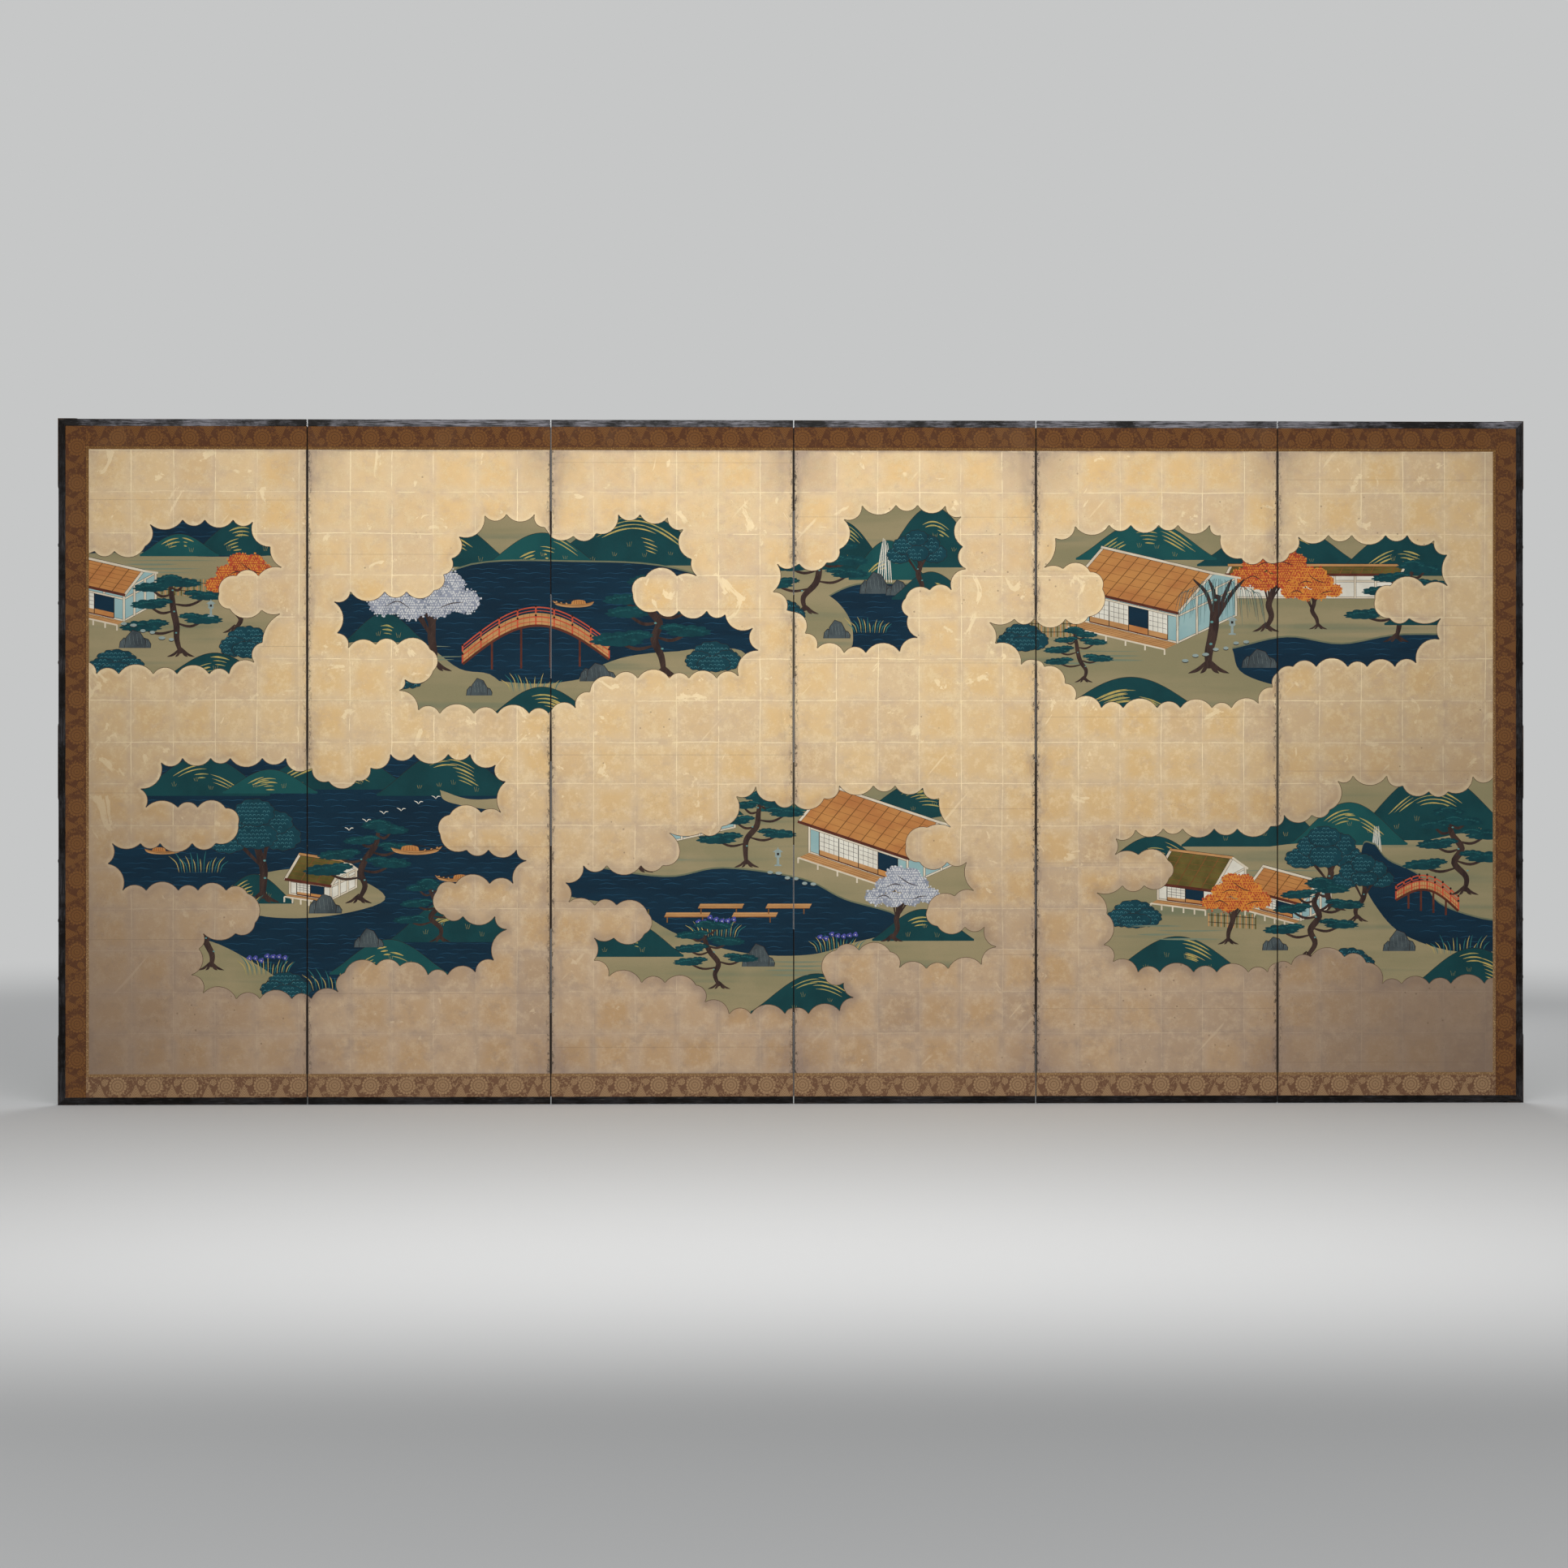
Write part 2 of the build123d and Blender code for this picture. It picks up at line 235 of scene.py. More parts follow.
def gold_leaf():
    """Squares of thin gold leaf, each with its own tone, joined in pale lines where two leaves lap."""
    s = Shader("gold_leaf", roughness=0.6, metallic=0.15, specular=0.25)
    x, _, z = s.split(s.place)
    u, w, number = s.split(s.attribute("leaf").outputs["Vector"])
    near_side, near_end, grime = s.split(s.attribute("place").outputs["Vector"])
    rim = s.attribute("rim").outputs["Fac"]
    # All the gold's tones below run from darker and duller at the bottom to brighter at the top: painted
    # light falling from above, with some age.
    height = s.between(z, gold_bottom + 0.05, gold_bottom + 1.0)
    ochre = s.mix(height, "AF8E66", "CFAC74")
    edge_tone = s.mix(height, "B39A7F", "CFB58C")
    cream = s.mix(height, "C6AF91", "EAD5AA")
    lilac = s.mix(height, "8B796B", "B49C84")
    # The leaves were laid by hand, so their joints wander a little.
    sway = (s.noise(4.0) - 0.5) * 0.1
    jitter = (s.noise(55.0) - 0.5) * 0.02
    u = u + sway + jitter
    w = w - sway + jitter
    square = s.vector(s.math("FLOOR", u), s.math("FLOOR", w), number)
    tone = s.random(square)
    other_tone = s.random(s.vector(s.math("FLOOR", w), number, s.math("FLOOR", u)))
    u, w = s.math("FRACT", u), s.math("FRACT", w)
    side = s.math("MINIMUM", s.math("MINIMUM", u, 1.0 - u), s.math("MINIMUM", w, 1.0 - w))
    # Worn grey-pink round its edges, each leaf keeps its warm colour longest in the middle.
    worn_edge = s.between(side + (s.noise(17.0, detail=5.0, roughness=0.7) - 0.5) * 0.5, 0.34, 0.0)
    colour = s.mix(worn_edge * 0.85, ochre, edge_tone)
    colour = s.mix(s.between(tone, 0.35, 1.0) * 0.65, colour, edge_tone)
    colour = s.mix(s.between(other_tone, 0.6, 1.0) * 0.4, colour, lilac)
    clouds = s.between(s.noise(2.1, detail=4.0), 0.42, 0.66)
    colour = s.mix(clouds * 0.35, colour, edge_tone)
    rubbed = s.between(s.noise(38.0, detail=9.0, roughness=0.82), 0.47, 0.62)
    colour = s.mix(rubbed * 0.45, colour, cream)
    bruised = s.between(s.noise(19.0, s.stretch((1.0, 1.0, 1.3)), detail=8.0, roughness=0.78), 0.5, 0.66)
    colour = s.mix(bruised * 0.36, colour, lilac)
    weft = s.noise(1.0, s.stretch((60.0, 1.0, 1100.0)), detail=2.0)
    warp = s.noise(1.0, s.stretch((1100.0, 1.0, 60.0)), detail=2.0)
    fibre = s.between(weft, 0.45, 0.7) + s.between(warp, 0.45, 0.7)
    colour = s.mix(fibre * 0.13, colour, lilac)
    # Mends: scraps of newer leaf with torn edges, and folds that cracked open.
    torn = s.noise(8.5, detail=5.0, roughness=0.6, distortion=2.2)
    scrap = s.between(torn, 0.685 - height * 0.05, 0.7 - height * 0.05)
    slant = s.vector(x * 2.6 + z * 3.1, 0.0, x * 52.0 - z * 46.0)
    crack = s.between(s.noise(1.0, slant, detail=1.0), 0.7, 0.73) * s.between(s.noise(3.3), 0.52, 0.56)
    mend = s.math("MAXIMUM", scrap, crack * 0.8)
    colour = s.mix(mend * 0.6, colour, cream)
    # Where two leaves lap the gold is double and stays bright.
    lap = s.math("MAXIMUM", s.between(u, *LAP), s.between(w, *LAP))
    broken = s.between(s.noise(19.0, detail=4.0, roughness=0.65), 0.34, 0.54)
    # No two joints are equally bright, and they brighten towards the top, which is painted light from above;
    # beside each the gold has greyed.
    own = tone * 0.95 + 0.4
    bright = lap * broken * (height * 0.6 + 0.36)
    bright = s.math("MULTIPLY", bright, own, clamp=True)
    greyed = s.between(side, 0.13, 0.02) * s.between(s.noise(11.0, detail=5.0, roughness=0.7), 0.42, 0.62)
    colour = s.mix(greyed * 0.34, colour, lilac)
    colour = s.mix(bright, colour, cream)
    seam = s.math("FRACT", z / SHEET_TALL + number * 0.37)
    colour = s.mix(s.between(abs(seam - 0.5), 0.0026, 0.0010) * 0.35, colour, "6F5C4A")
    # Soot and handling: along both upright sides of a panel, and most of all at its corners.
    smudge = s.noise(8.0, s.stretch((2.2, 1.0, 0.8)), detail=7.0, roughness=0.72)
    dirt = s.between(near_side, 0.05, 0.0) * s.between(smudge, 0.42, 0.66) * 0.8
    corner = s.between(near_side, 0.13, 0.0) * s.between(near_end, 0.16, 0.0)
    ends = s.between(near_end, 0.03, 0.0) * s.between(smudge, 0.42, 0.66)
    dirt = dirt + ends * 0.4 + corner * 0.7
    dirt = s.math("MULTIPLY", dirt, grime, clamp=True)
    colour = s.mix(dirt * 0.62, colour, "7B6A64")
    # At a fold the leaf has worn away to dark paper, and flakes are missing beside it.
    fleck = s.noise(150.0, s.stretch((1.0, 1.0, 0.6)), detail=5.0, roughness=0.8)
    flaked = s.between(near_side, 0.014, 0.001) * s.between(fleck, 0.5, 0.6)
    bare = s.between(near_side + fleck * 0.003, 0.0042, 0.0026)
    missing = s.math("MAXIMUM", flaked * grime, bare * 0.9)
    colour = s.mix(missing, colour, "2B221C")
    # The gold darkens and browns towards the two end boards, above all near the floor and more on the right:
    # partly age, partly painted shade where the lamp's light falls off.
    right_more = s.math("MAXIMUM", x * 1.13, x * -1.0)
    shade_and_browning = s.between(right_more, 1.0, 1.9) * (0.68 - s.between(z, 0.1, 1.55) * 0.54)
    colour = s.mix(shade_and_browning, colour, "6E5A4B")
    # Soft darker shading round the rim of each cloud, stronger towards the bottom: partly the painter's own
    # shading, partly painted shade of the raised rim. A pale painted highlight runs along each rim, brighter
    # towards the top.
    patchy = s.between(s.noise(4.5, detail=3.0), 0.36, 0.6)
    shade = s.between(rim, 0.03, 0.0) * patchy
    shade = shade * (0.6 - height * 0.36)
    colour = s.mix(shade, colour, "77655A")
    glow = s.between(rim, 0.013, 0.003) * (height * 0.3)
    colour = s.mix(glow, colour, cream)
    spot = s.between(s.voronoi(30.0), 0.085, 0.06) * s.between(s.noise(1.9), 0.53, 0.58)
    pepper = s.between(s.voronoi(150.0), 0.13, 0.09) * s.between(s.noise(5.0, detail=4.0), 0.52, 0.6)
    colour = s.mix(s.math("MAXIMUM", spot, pepper) * 0.55, colour, "6A543F")
    s.colour(colour)
    s.rough(rubbed * 0.5 + s.noise(60.0) * 0.5, 0.4, 0.66)
    relief = lap * 0.5 + mend * 0.5
    relief = relief + (fibre * 0.16 + rubbed * 0.2)
    s.bump(relief, 0.00016, 0.6)
    return s.material


def pigment(name, code, deep, blotch, scale, along=(1.0, 1.0, 1.0)):
    """Mineral pigment in glue, a little uneven, with the paper's tooth showing through."""
    s = Shader(name, roughness=0.8, specular=0.12)
    uneven = s.noise(scale, s.stretch(along), detail=5.0, roughness=0.6)
    colour = s.mix(s.between(uneven, 0.35, 0.7) * blotch, code, deep)
    tooth = s.noise(700.0, detail=2.0)
    colour = s.mix(s.between(tooth, 0.55, 0.75) * 0.09, colour, "8C8068")
    s.colour(colour)
    s.bump(tooth, 0.0001, 0.4)
    return s.material


def ground_paper():
    """The painting's olive-tan ground with washes of mist, and worn paper along a board's edges."""
    s = Shader("painted_ground", roughness=0.85, specular=0.12)
    _, y, z = s.split(s.place)
    colour = ground_colour(s)
    edge = s.math("GREATER_THAN", y, paper_y + 0.0002)
    worn = s.mix(s.between(s.noise(40.0, s.stretch((1.0, 1.0, 0.3)), detail=5.0), 0.35, 0.65),
                 "1E1612", "3A2C20")
    s.colour(s.mix(edge, colour, worn))
    s.bump(s.noise(650.0, detail=2.0), 0.0001, 0.5)
    return s.material


def ground_colour(s):
    """The colour of bare painted ground: olive tan, with green mist and warm stains."""
    wash = s.noise(2.2, s.stretch((0.6, 1.0, 5.0)), detail=4.0, roughness=0.55)
    colour = s.mix(s.between(wash, 0.36, 0.62), "958867", "877F5F")
    mist = s.between(s.noise(2.3, s.stretch((0.55, 1.0, 11.0)), detail=2.0), 0.54, 0.7)
    colour = s.mix(mist * 0.6, colour, "66705A")
    warm = s.between(s.noise(6.0, detail=4.0), 0.5, 0.75)
    colour = s.mix(warm * 0.4, colour, "A3916F")
    tooth = s.noise(650.0, detail=2.0)
    return s.mix(s.between(tooth, 0.5, 0.75) * 0.2, colour, "6E6248")


def meadow_wash():
    """Land of the same colour as the ground, laid over water."""
    s = Shader("meadow", roughness=0.85, specular=0.12)
    s.colour(ground_colour(s))
    s.bump(s.noise(650.0, detail=2.0), 0.0001, 0.5)
    return s.material


def brocade():
    """Brown silk woven with chrysanthemums, small flowers and leaf sprays, and its narrow inner strip."""
    s = Shader("brocade", roughness=0.75, specular=0.15)
    x, y, z = s.split(s.place)
    # The repeat of the flowers along a strip, and half a strip's width.
    pitch, half = 0.0915, 0.026
    low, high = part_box("panel_6_brocade")
    # Along and across a strip: the strips at the two ends run up the screen, the others along it.
    upright = s.math("GREATER_THAN", abs(x), high.x - 2 * half)
    level = 1.0 - upright
    above = abs(z - (low.z + high.z) / 2) - ((high.z - low.z) / 2 - half)
    beside = abs(x) - (high.x - half)
    along = upright * z + level * x
    across = upright * beside + level * above
    step = along / pitch + 0.25

    def flower(shift, centre, radius, petals, tiers):
        """A flower seen from the front: tiers of petals in thin outline, and the area that it fills."""
        place = (s.math("FRACT", step + shift) - 0.5) * pitch
        rise = across - centre
        far = s.math("SQRT", place * place + rise * rise)
        turn = s.math("ARCTAN2", rise, place)
        petal = abs(s.math("COSINE", turn * (petals / 2)))
        reach = (petal * 0.12 + 0.9) * radius
        out = far / reach
        tier = out * tiers
        odd = s.math("FLOOR", tier) * (pi / 2)
        veins = s.between(abs(s.math("COSINE", turn * (petals / 2) + odd)), 0.3, 0.16)
        rings = s.between(s.math("FRACT", tier), 0.26, 0.16)
        inside = s.between(out, 1.0, 0.97)
        open_part = 1.0 - s.math("MAXIMUM", veins, rings)
        return open_part * inside, inside

    large, large_area = flower(0.0, -0.003, 0.0225, 16.0, 3.0)
    small, small_area = flower(0.36, -0.012, 0.0085, 5.0, 2.0)
    # Leaf sprays stand on the outer edge between the flowers and point inwards.
    place = abs((s.math("FRACT", step + 0.5) - 0.5) * pitch)
    taper = (across + 0.008) * 0.46
    leaf_area = s.between(taper - place, 0.0, 0.0006)
    rib = s.math("FRACT", (place + across * 0.8) * 190.0)
    leaf = leaf_area * s.between(rib, 0.2, 0.32)
    band = abs(s.math("FRACT", step + across / pitch) - 0.22)
    scroll = s.between(s.noise(120.0, detail=1.0, distortion=1.5), 0.53, 0.56) * s.between(band, 0.07, 0.1)
    taken = s.math("MAXIMUM", s.math("MAXIMUM", large_area, small_area), leaf_area)
    figure = s.math("MAXIMUM", s.math("MAXIMUM", large, small), leaf * (1.0 - large_area))
    figure = s.math("MAXIMUM", figure, scroll * (1.0 - taken) * 0.7)
    # The lowest strip has faded, and the two upright ones little.
    height = s.math("MAXIMUM", s.between(z, low.z, high.z), upright * 0.97)
    cloth = s.mix(height, "6E4F3A", "55331D")
    thread = s.mix(height, "A68763", "7A5026")
    twill = s.between(s.math("SINE", (x + z) * 5200.0), -0.6, 0.6)
    colour = s.mix(figure * 0.85, cloth, thread)
    colour = s.mix(twill * 0.2, colour, "3E2616")
    faded = s.between(s.noise(4.0, detail=6.0, roughness=0.7), 0.45, 0.75)
    faded = faded * (0.25 - upright * 0.17)
    colour = s.mix(faded, colour, "86684A")
    # The narrow inner strip stands a little higher than the brocade.
    strip = s.math("LESS_THAN", y, brocade_y + 0.00005)
    fleck = s.between(s.voronoi(330.0), 0.4, 0.22)
    fine = s.mix(fleck * 0.8, s.mix(height, "7E6040", "6B4A26"), s.mix(height, "BB9A6C", "A47C46"))
    s.colour(s.mix(strip, colour, fine))
    s.surface.inputs["Sheen Weight"].default_value = 0.08
    s.bump(figure * 0.7 + twill * 0.3, 0.00015, 0.7)
    return s.material


def lacquer(name, along, dust_and_sheen):
    """Old black-brown lacquer, rubbed through along its chamfers, and grey in patches: partly dust, partly
    painted reflection of the light from above.

    along is the axis of the wood's grain, and the last argument says how much of that grey a face has, from 0
    to 1. A face with more of it scatters a little more light than a clean one.
    """
    s = Shader(name, roughness=0.4, specular=0.12 if dust_and_sheen > 0.5 else 0.07)
    nx, ny, nz = s.split(s.normal)
    chamfer = s.between(abs(ny * (nx if along == "Z" else nz)), 0.3, 0.45)
    grain = (3.0, 60.0, 60.0) if along == "X" else (60.0, 60.0, 3.0)
    streak = s.noise(4.0, s.stretch(grain), detail=5.0, roughness=0.65)
    colour = s.mix(s.between(streak, 0.35, 0.7), "080605", "130E0B")
    rub = chamfer * s.between(s.noise(30.0, detail=4.0), 0.46, 0.62)
    colour = s.mix(rub * 0.7, colour, "55412F")
    scratch = s.between(s.noise(6.0, s.stretch(tuple(2.2 * g for g in grain)), detail=2.0), 0.63, 0.69)
    colour = s.mix(scratch * (0.2 + 0.3 * dust_and_sheen), colour, "7C7772")
    # Grey patches, strongest on the top rails: dust, and painted reflection of the light from above.
    patches = s.between(s.noise(5.0, s.stretch((1.0, 1.0, 2.0)), detail=7.0, roughness=0.72), 0.4, 0.6)
    smear = s.between(s.noise(9.0, s.stretch(grain), detail=5.0, roughness=0.7), 0.35, 0.62)
    colour = s.mix(patches * smear * dust_and_sheen, colour, "8C8A90")
    s.colour(colour)
    s.rough(s.noise(25.0, detail=5.0), 0.35, 0.62)
    s.bump(streak - scratch * 0.6, 0.00025, 0.5)
    return s.material


def dark_metal():
    """Copper fittings gone dark brown, pitted, and bright at the rubbed places."""
    s = Shader("dark_metal", roughness=0.5, metallic=0.7, specular=0.5)
    blotch = s.noise(45.0, detail=6.0, roughness=0.7)
    colour = s.mix(s.between(blotch, 0.35, 0.7), "241C17", "4A3427")
    green = s.between(s.noise(22.0, detail=4.0), 0.62, 0.75)
    colour = s.mix(green * 0.35, colour, "4C5548")
    pits = s.between(s.voronoi(900.0), 0.25, 0.1)
    s.colour(s.mix(pits * 0.6, colour, "120D0A"))
    s.rough(blotch, 0.35, 0.7)
    s.bump(blotch - pits * 0.5, 0.0003, 0.6)
    return s.material


def back_paper():
    """Grey-green paper, block printed with overlapping waves, in large sheets that have foxed."""
    s = Shader("back_paper", roughness=0.82)
    x, _, z = s.split(s.place)

    def fan(shift):
        """How far a spot is from the foot of its scale of the wave pattern, in rows moved by a shift."""
        u = s.math("FRACT", x / WAVE_SIZE + shift) - 0.5
        v = s.math("FRACT", z / (WAVE_SIZE / 2)) * 0.5
        return s.math("SQRT", u * u + v * v)

    row = s.math("FLOORED_MODULO", s.math("FLOOR", z / (WAVE_SIZE / 2)), 2.0)
    near, behind = fan(row * 0.5), fan(row * 0.5 + 0.5)
    inside = s.math("LESS_THAN", near, 0.5)
    far = inside * near + (1.0 - inside) * behind
    rings = s.between(s.math("SINE", far * 50.0), 0.2, 0.6)
    worn = s.between(s.noise(14.0, detail=5.0), 0.3, 0.6)
    colour = s.mix(s.between(s.noise(3.0, detail=5.0), 0.4, 0.7), "8B9182", "7E8574")
    colour = s.mix(rings * worn * 0.45, colour, "5B6A5C")
    seam = abs(s.math("FRACT", z / BACK_SHEET_TALL) - 0.5)
    colour = s.mix(s.between(seam, 0.49, 0.497) * 0.5, colour, "5E6355")
    fox = s.between(s.noise(8.0, detail=6.0, roughness=0.7), 0.6, 0.75) * 0.6
    colour = s.mix(fox, colour, "8A6F4C")
    s.colour(colour)
    fibre = s.noise(500.0, s.stretch((1.0, 1.0, 0.25)), detail=2.0)
    s.bump(fibre, 0.0001, 0.6)
    return s.material


def wood():
    """Bare sawn cedar of the lattice inside a board."""
    s = Shader("lattice_wood", roughness=0.7)
    rings = s.noise(6.0, s.stretch((14.0, 14.0, 1.0)), detail=4.0, distortion=0.6)
    s.colour(s.mix(s.between(rings, 0.35, 0.65), "C39A68", "94693D"))
    s.bump(rings, 0.0003, 0.4)
    return s.material


def hinge_paper():
    """Thick mulberry paper of the hinges, soiled at the bend."""
    s = Shader("hinge_paper", roughness=0.85)
    fibre = s.noise(90.0, s.stretch((1.0, 1.0, 6.0)), detail=6.0, roughness=0.7)
    colour = s.mix(s.between(fibre, 0.35, 0.65), "2B2019", "1A130F")
    s.colour(colour)
    s.bump(fibre, 0.0002, 0.6)
    return s.material


PAINTS = {
    "hill": pigment("malachite_dark", "124043", "0D3236", 0.7, 9.0),
    "hill_light": pigment("malachite", "184E4D", "114144", 0.7, 9.0),
    "contour": pigment("gold_line", "B8A05A", "7D8454", 0.8, 60.0),
    "water": pigment("azurite_dark", "0D2B3C", "0A2231", 0.8, 7.0, (0.5, 1.0, 3.0)),
    "wave": pigment("wave_line", "1F4860", "16384C", 0.6, 40.0),
    "shore": pigment("shore_edge", "6C6F57", "59634F", 0.6, 30.0),
    "meadow": meadow_wash(),
    "haze": pigment("haze", "77806A", "66725F", 0.8, 9.0),
    "trunk": pigment("bark", "40302A", "261C1C", 0.8, 70.0, (1.0, 1.0, 0.3)),
    "bark_line": pigment("bark_line", "6A5242", "54423A", 0.5, 70.0),
    "needle": pigment("needle_dark", "103F44", "0A2E35", 0.7, 40.0),
    "needle_line": pigment("needle_line", "2F706C", "235A5C", 0.6, 80.0),
    "leafage": pigment("leafage", "143F49", "0F323B", 0.7, 30.0),
    "leafage_line": pigment("leafage_line", "4A8288", "34666E", 0.6, 80.0),
    "moss": pigment("moss", "5E8F8C", "4A7774", 0.5, 90.0),
    "lichen": pigment("lichen", "8F9C97", "728481", 0.5, 90.0),
    "shingle": pigment("shingle", "B98148", "A86A3C", 0.9, 8.0, (1.0, 1.0, 2.0)),
    "shingle_line": pigment("shingle_line", "6B4526", "8A5B2E", 0.7, 50.0),
    "thatch": pigment("thatch", "665A2C", "4A431F", 0.8, 20.0),
    "ink": pigment("ink", "2A211E", "191312", 0.6, 60.0),
    "wall": pigment("wall_blue", "92AEAC", "7FA0A2", 0.7, 12.0),
    "white": pigment("shell_white", "D3C7B0", "BCAD96", 0.7, 20.0),
    "foam": pigment("shell_white_fresh", "DAD5C6", "C4BEAF", 0.7, 20.0),
    "eave": pigment("eave_brown", "5E3023", "42201A", 0.7, 30.0),
    "vermilion": pigment("vermilion", "BF5238", "A0402D", 0.7, 30.0),
    "maple": pigment("maple_red", "B14A2D", "8A3426", 0.8, 60.0),
    "maple_light": pigment("maple_ochre", "CF8637", "B96C30", 0.7, 60.0),
    "blossom": pigment("blossom", "9195A0", "737985", 0.7, 50.0),
    "blossom_light": pigment("blossom_light", "CBCAC8", "AEB1B5", 0.6, 70.0),
    "rock": pigment("rock", "4A5355", "30373B", 0.8, 26.0),
    "board": pigment("planks", "BC8C5A", "9C7043", 0.7, 30.0, (0.4, 1.0, 2.0)),
    "iris": pigment("iris", "484B94", "33376F", 0.6, 60.0),
    "gold_edge": pigment("cloud_line", "513D30", "6E5946", 0.8, 40.0),
}
PAINT_NAMES = list(PAINTS)


# ======================================================================================
# The brush: flat patches of paint, each laid over what is under it
# ======================================================================================
class Painting:
    """All the paint of the screen, in millimetres. Each coat lies above whatever it covers.

    The patches of one coat share one level, so they are set apart and never overlap one another.
    """

    def __init__(self):
        self.coats = []
        self.covered = np.zeros((int(2 * PAINTED_HALF / CELL), int(PAINTED_TALL / CELL)), np.int16)

    def lay(self, paint, points, faces):
        """Lay one coat above everything that it covers."""
        cells = ((np.asarray(points) + (PAINTED_HALF, 0)) / CELL).astype(int)
        cells = np.clip(cells, 0, np.array(self.covered.shape) - 1)
        low, high = cells.min(0), cells.max(0) + 1
        window = self.covered[low[0] : high[0], low[1] : high[1]]
        touched = np.zeros(window.shape, bool)
        for face in faces:
            corners = cells[list(face)] - low
            first, last = corners.min(0), corners.max(0) + 1
            touched[first[0] : last[0], first[1] : last[1]] = True
        level = int(window[touched].max()) + 1
        window[touched] = level
        self.coats.append((PAINT_NAMES.index(paint), level, points, faces))

    def coat(self, paint, patches):
        """Lay patches, each its points and faces, as one coat."""
        points, faces = [], []
        for spots, corners in patches:
            faces += [tuple(i + len(points) for i in face) for face in corners]
            points += spots
        self.lay(paint, points, faces)

    def fill(self, paint, *outlines):
        """Closed outlines filled with one coat of paint."""
        patches = []
        for outline in outlines:
            spots = [(float(x), float(z)) for x, z in outline]
            patches.append((spots, tessellate_polygon([[Vector((x, z, 0)) for x, z in spots]])))
        self.coat(paint, patches)

    def lines(self, paint, *strokes):
        """One coat of brush strokes, each (points, width) and then how much of it the ends lose."""
        self.coat(paint, [brushed(*stroke) for stroke in strokes])


def smooth(points, count=8):
    """Points on a curve through the given points, count to each stretch."""
    points = [np.array(p, float) for p in points]
    padded = [2 * points[0] - points[1], *points, 2 * points[-1] - points[-2]]
    out = []
    for a, b, c, d in zip(padded, padded[1:], padded[2:], padded[3:]):
        for step in range(count):
            t = step / count
            out.append(0.5 * (2 * b + (c - a) * t + (2 * a - 5 * b + 4 * c - d) * t * t
                              + (3 * b - a - 3 * c + d) * t**3))
    out.append(points[-1])
    return out


def brushed(points, width, taper=0.7, count=5):
    """One stroke through the points: a ribbon that thins towards both ends."""
    line = smooth(points, count) if len(points) > 2 else [np.array(p, float) for p in points]
    left, right = [], []
    for i, here in enumerate(line):
        run = line[min(i + 1, len(line) - 1)] - line[max(i - 1, 0)]
        side = np.array((-run[1], run[0])) / max(hypot(*run), 1e-6)
        half = width / 2 * (1 - taper * abs(2 * i / (len(line) - 1) - 1) ** 2)
        left.append(tuple(here + side * half))
        right.append(tuple(here - side * half))
    n = len(line)
    return left + right, [(i, i + 1, n + i + 1, n + i) for i in range(n - 1)]


def scallops(x, z, wide, tall, lobes, rng, puff=0.16, squash=1.0, steps=5):
    """A closed outline of rounded lobes about an oval, like a clump of leaves or a pad of needles."""
    out = []
    starts = [(i + rng.uniform(-0.18, 0.18)) / lobes for i in range(lobes)]
    for i, start in enumerate(starts):
        end = starts[(i + 1) % lobes] + (1 if i == lobes - 1 else 0)
        for step in range(steps):
            share = step / steps
            turn = 2 * pi * (start + (end - start) * share)
            swell = 1 + puff * sin(pi * share)
            foot = squash if sin(turn) < 0 else 1.0
            out.append((x + wide / 2 * cos(turn) * swell, z + tall / 2 * sin(turn) * swell * foot))
    return out


painting = Painting()
fill, lines = painting.fill, painting.lines


# ---- Land and water ----
def hill(x, z, wide, tall, seed, paint="hill", lean=0.0):
    """A rounded hill on the line z, with groups of gold strokes that run down its shoulders."""
    rng = Random(seed)

    def slope(t, share=1.0):
        inner = 0.35 + 0.65 * share
        return (x + wide * inner * (t - 0.5), z + tall * share * sin(pi * t) ** 1.25 * (1 + lean * (t - 0.5)))

    fill(paint, [*[slope(t) for t in np.linspace(0, 1, 29)], (x + wide / 2, z - 5), (x - wide / 2, z - 5)])
    lines("ink", ([slope(t) for t in np.linspace(0.02, 0.98, 12)], 1.1, 0.3))
    for _ in range(max(2, int(wide / 100))):
        start, share, length = rng.uniform(0.1, 0.62), rng.uniform(0.45, 0.94), rng.uniform(0.14, 0.3)
        lanes = []
        for lane in range(rng.choice((2, 3, 3, 4))):
            span = np.linspace(start + 0.025 * lane, start + length + rng.uniform(-0.05, 0.04), 6)
            lanes.append(([slope(t, share - 9.5 * lane / tall) for t in span], rng.uniform(1.8, 4.6), 0.9))
        lines("contour", *lanes)
    tufts, count = [], int(wide / 85)
    for k in range(count):
        x0, z0 = slope((k + rng.uniform(0.3, 0.7)) / count, rng.uniform(0.12, 0.5))
        tufts += [([(x0 + 3 * j, z0), (x0 + 6 * j, z0 + rng.uniform(7, 13))], 1.2, 0.6) for j in (-1, 0, 1)]
    lines("contour", *tufts)


def water(outline, seed):
    """Deep water with a pale edge along its shore and rows of small waves."""
    rng = Random(seed)
    edge = smooth([*outline, outline[0]], 6)
    fill("shore", [(x, z + 4) for x, z in edge])
    fill("water", edge)
    spots = np.array(edge)
    (x0, z0), (x1, z1) = spots.min(0), spots.max(0)
    crests, z = [], z0 + 12
    while z < z1 - 10:
        x, spans = x0 + rng.uniform(0, 60), crossings(edge, z)
        while x < x1:
            length = rng.uniform(26, 90)
            if any(a + 8 < x and x + length < b - 8 for a, b in spans):
                crest = [(x + length * t, z + 3.0 * abs(sin(length / 12 * t)) * sin(pi * t))
                         for t in np.linspace(0, 1, 8)]
                crests.append((crest, rng.uniform(1.0, 1.7), 0.9, 2))
            x += length + rng.uniform(6, 60)
        z += rng.uniform(8, 17)
    lines("wave", *crests)


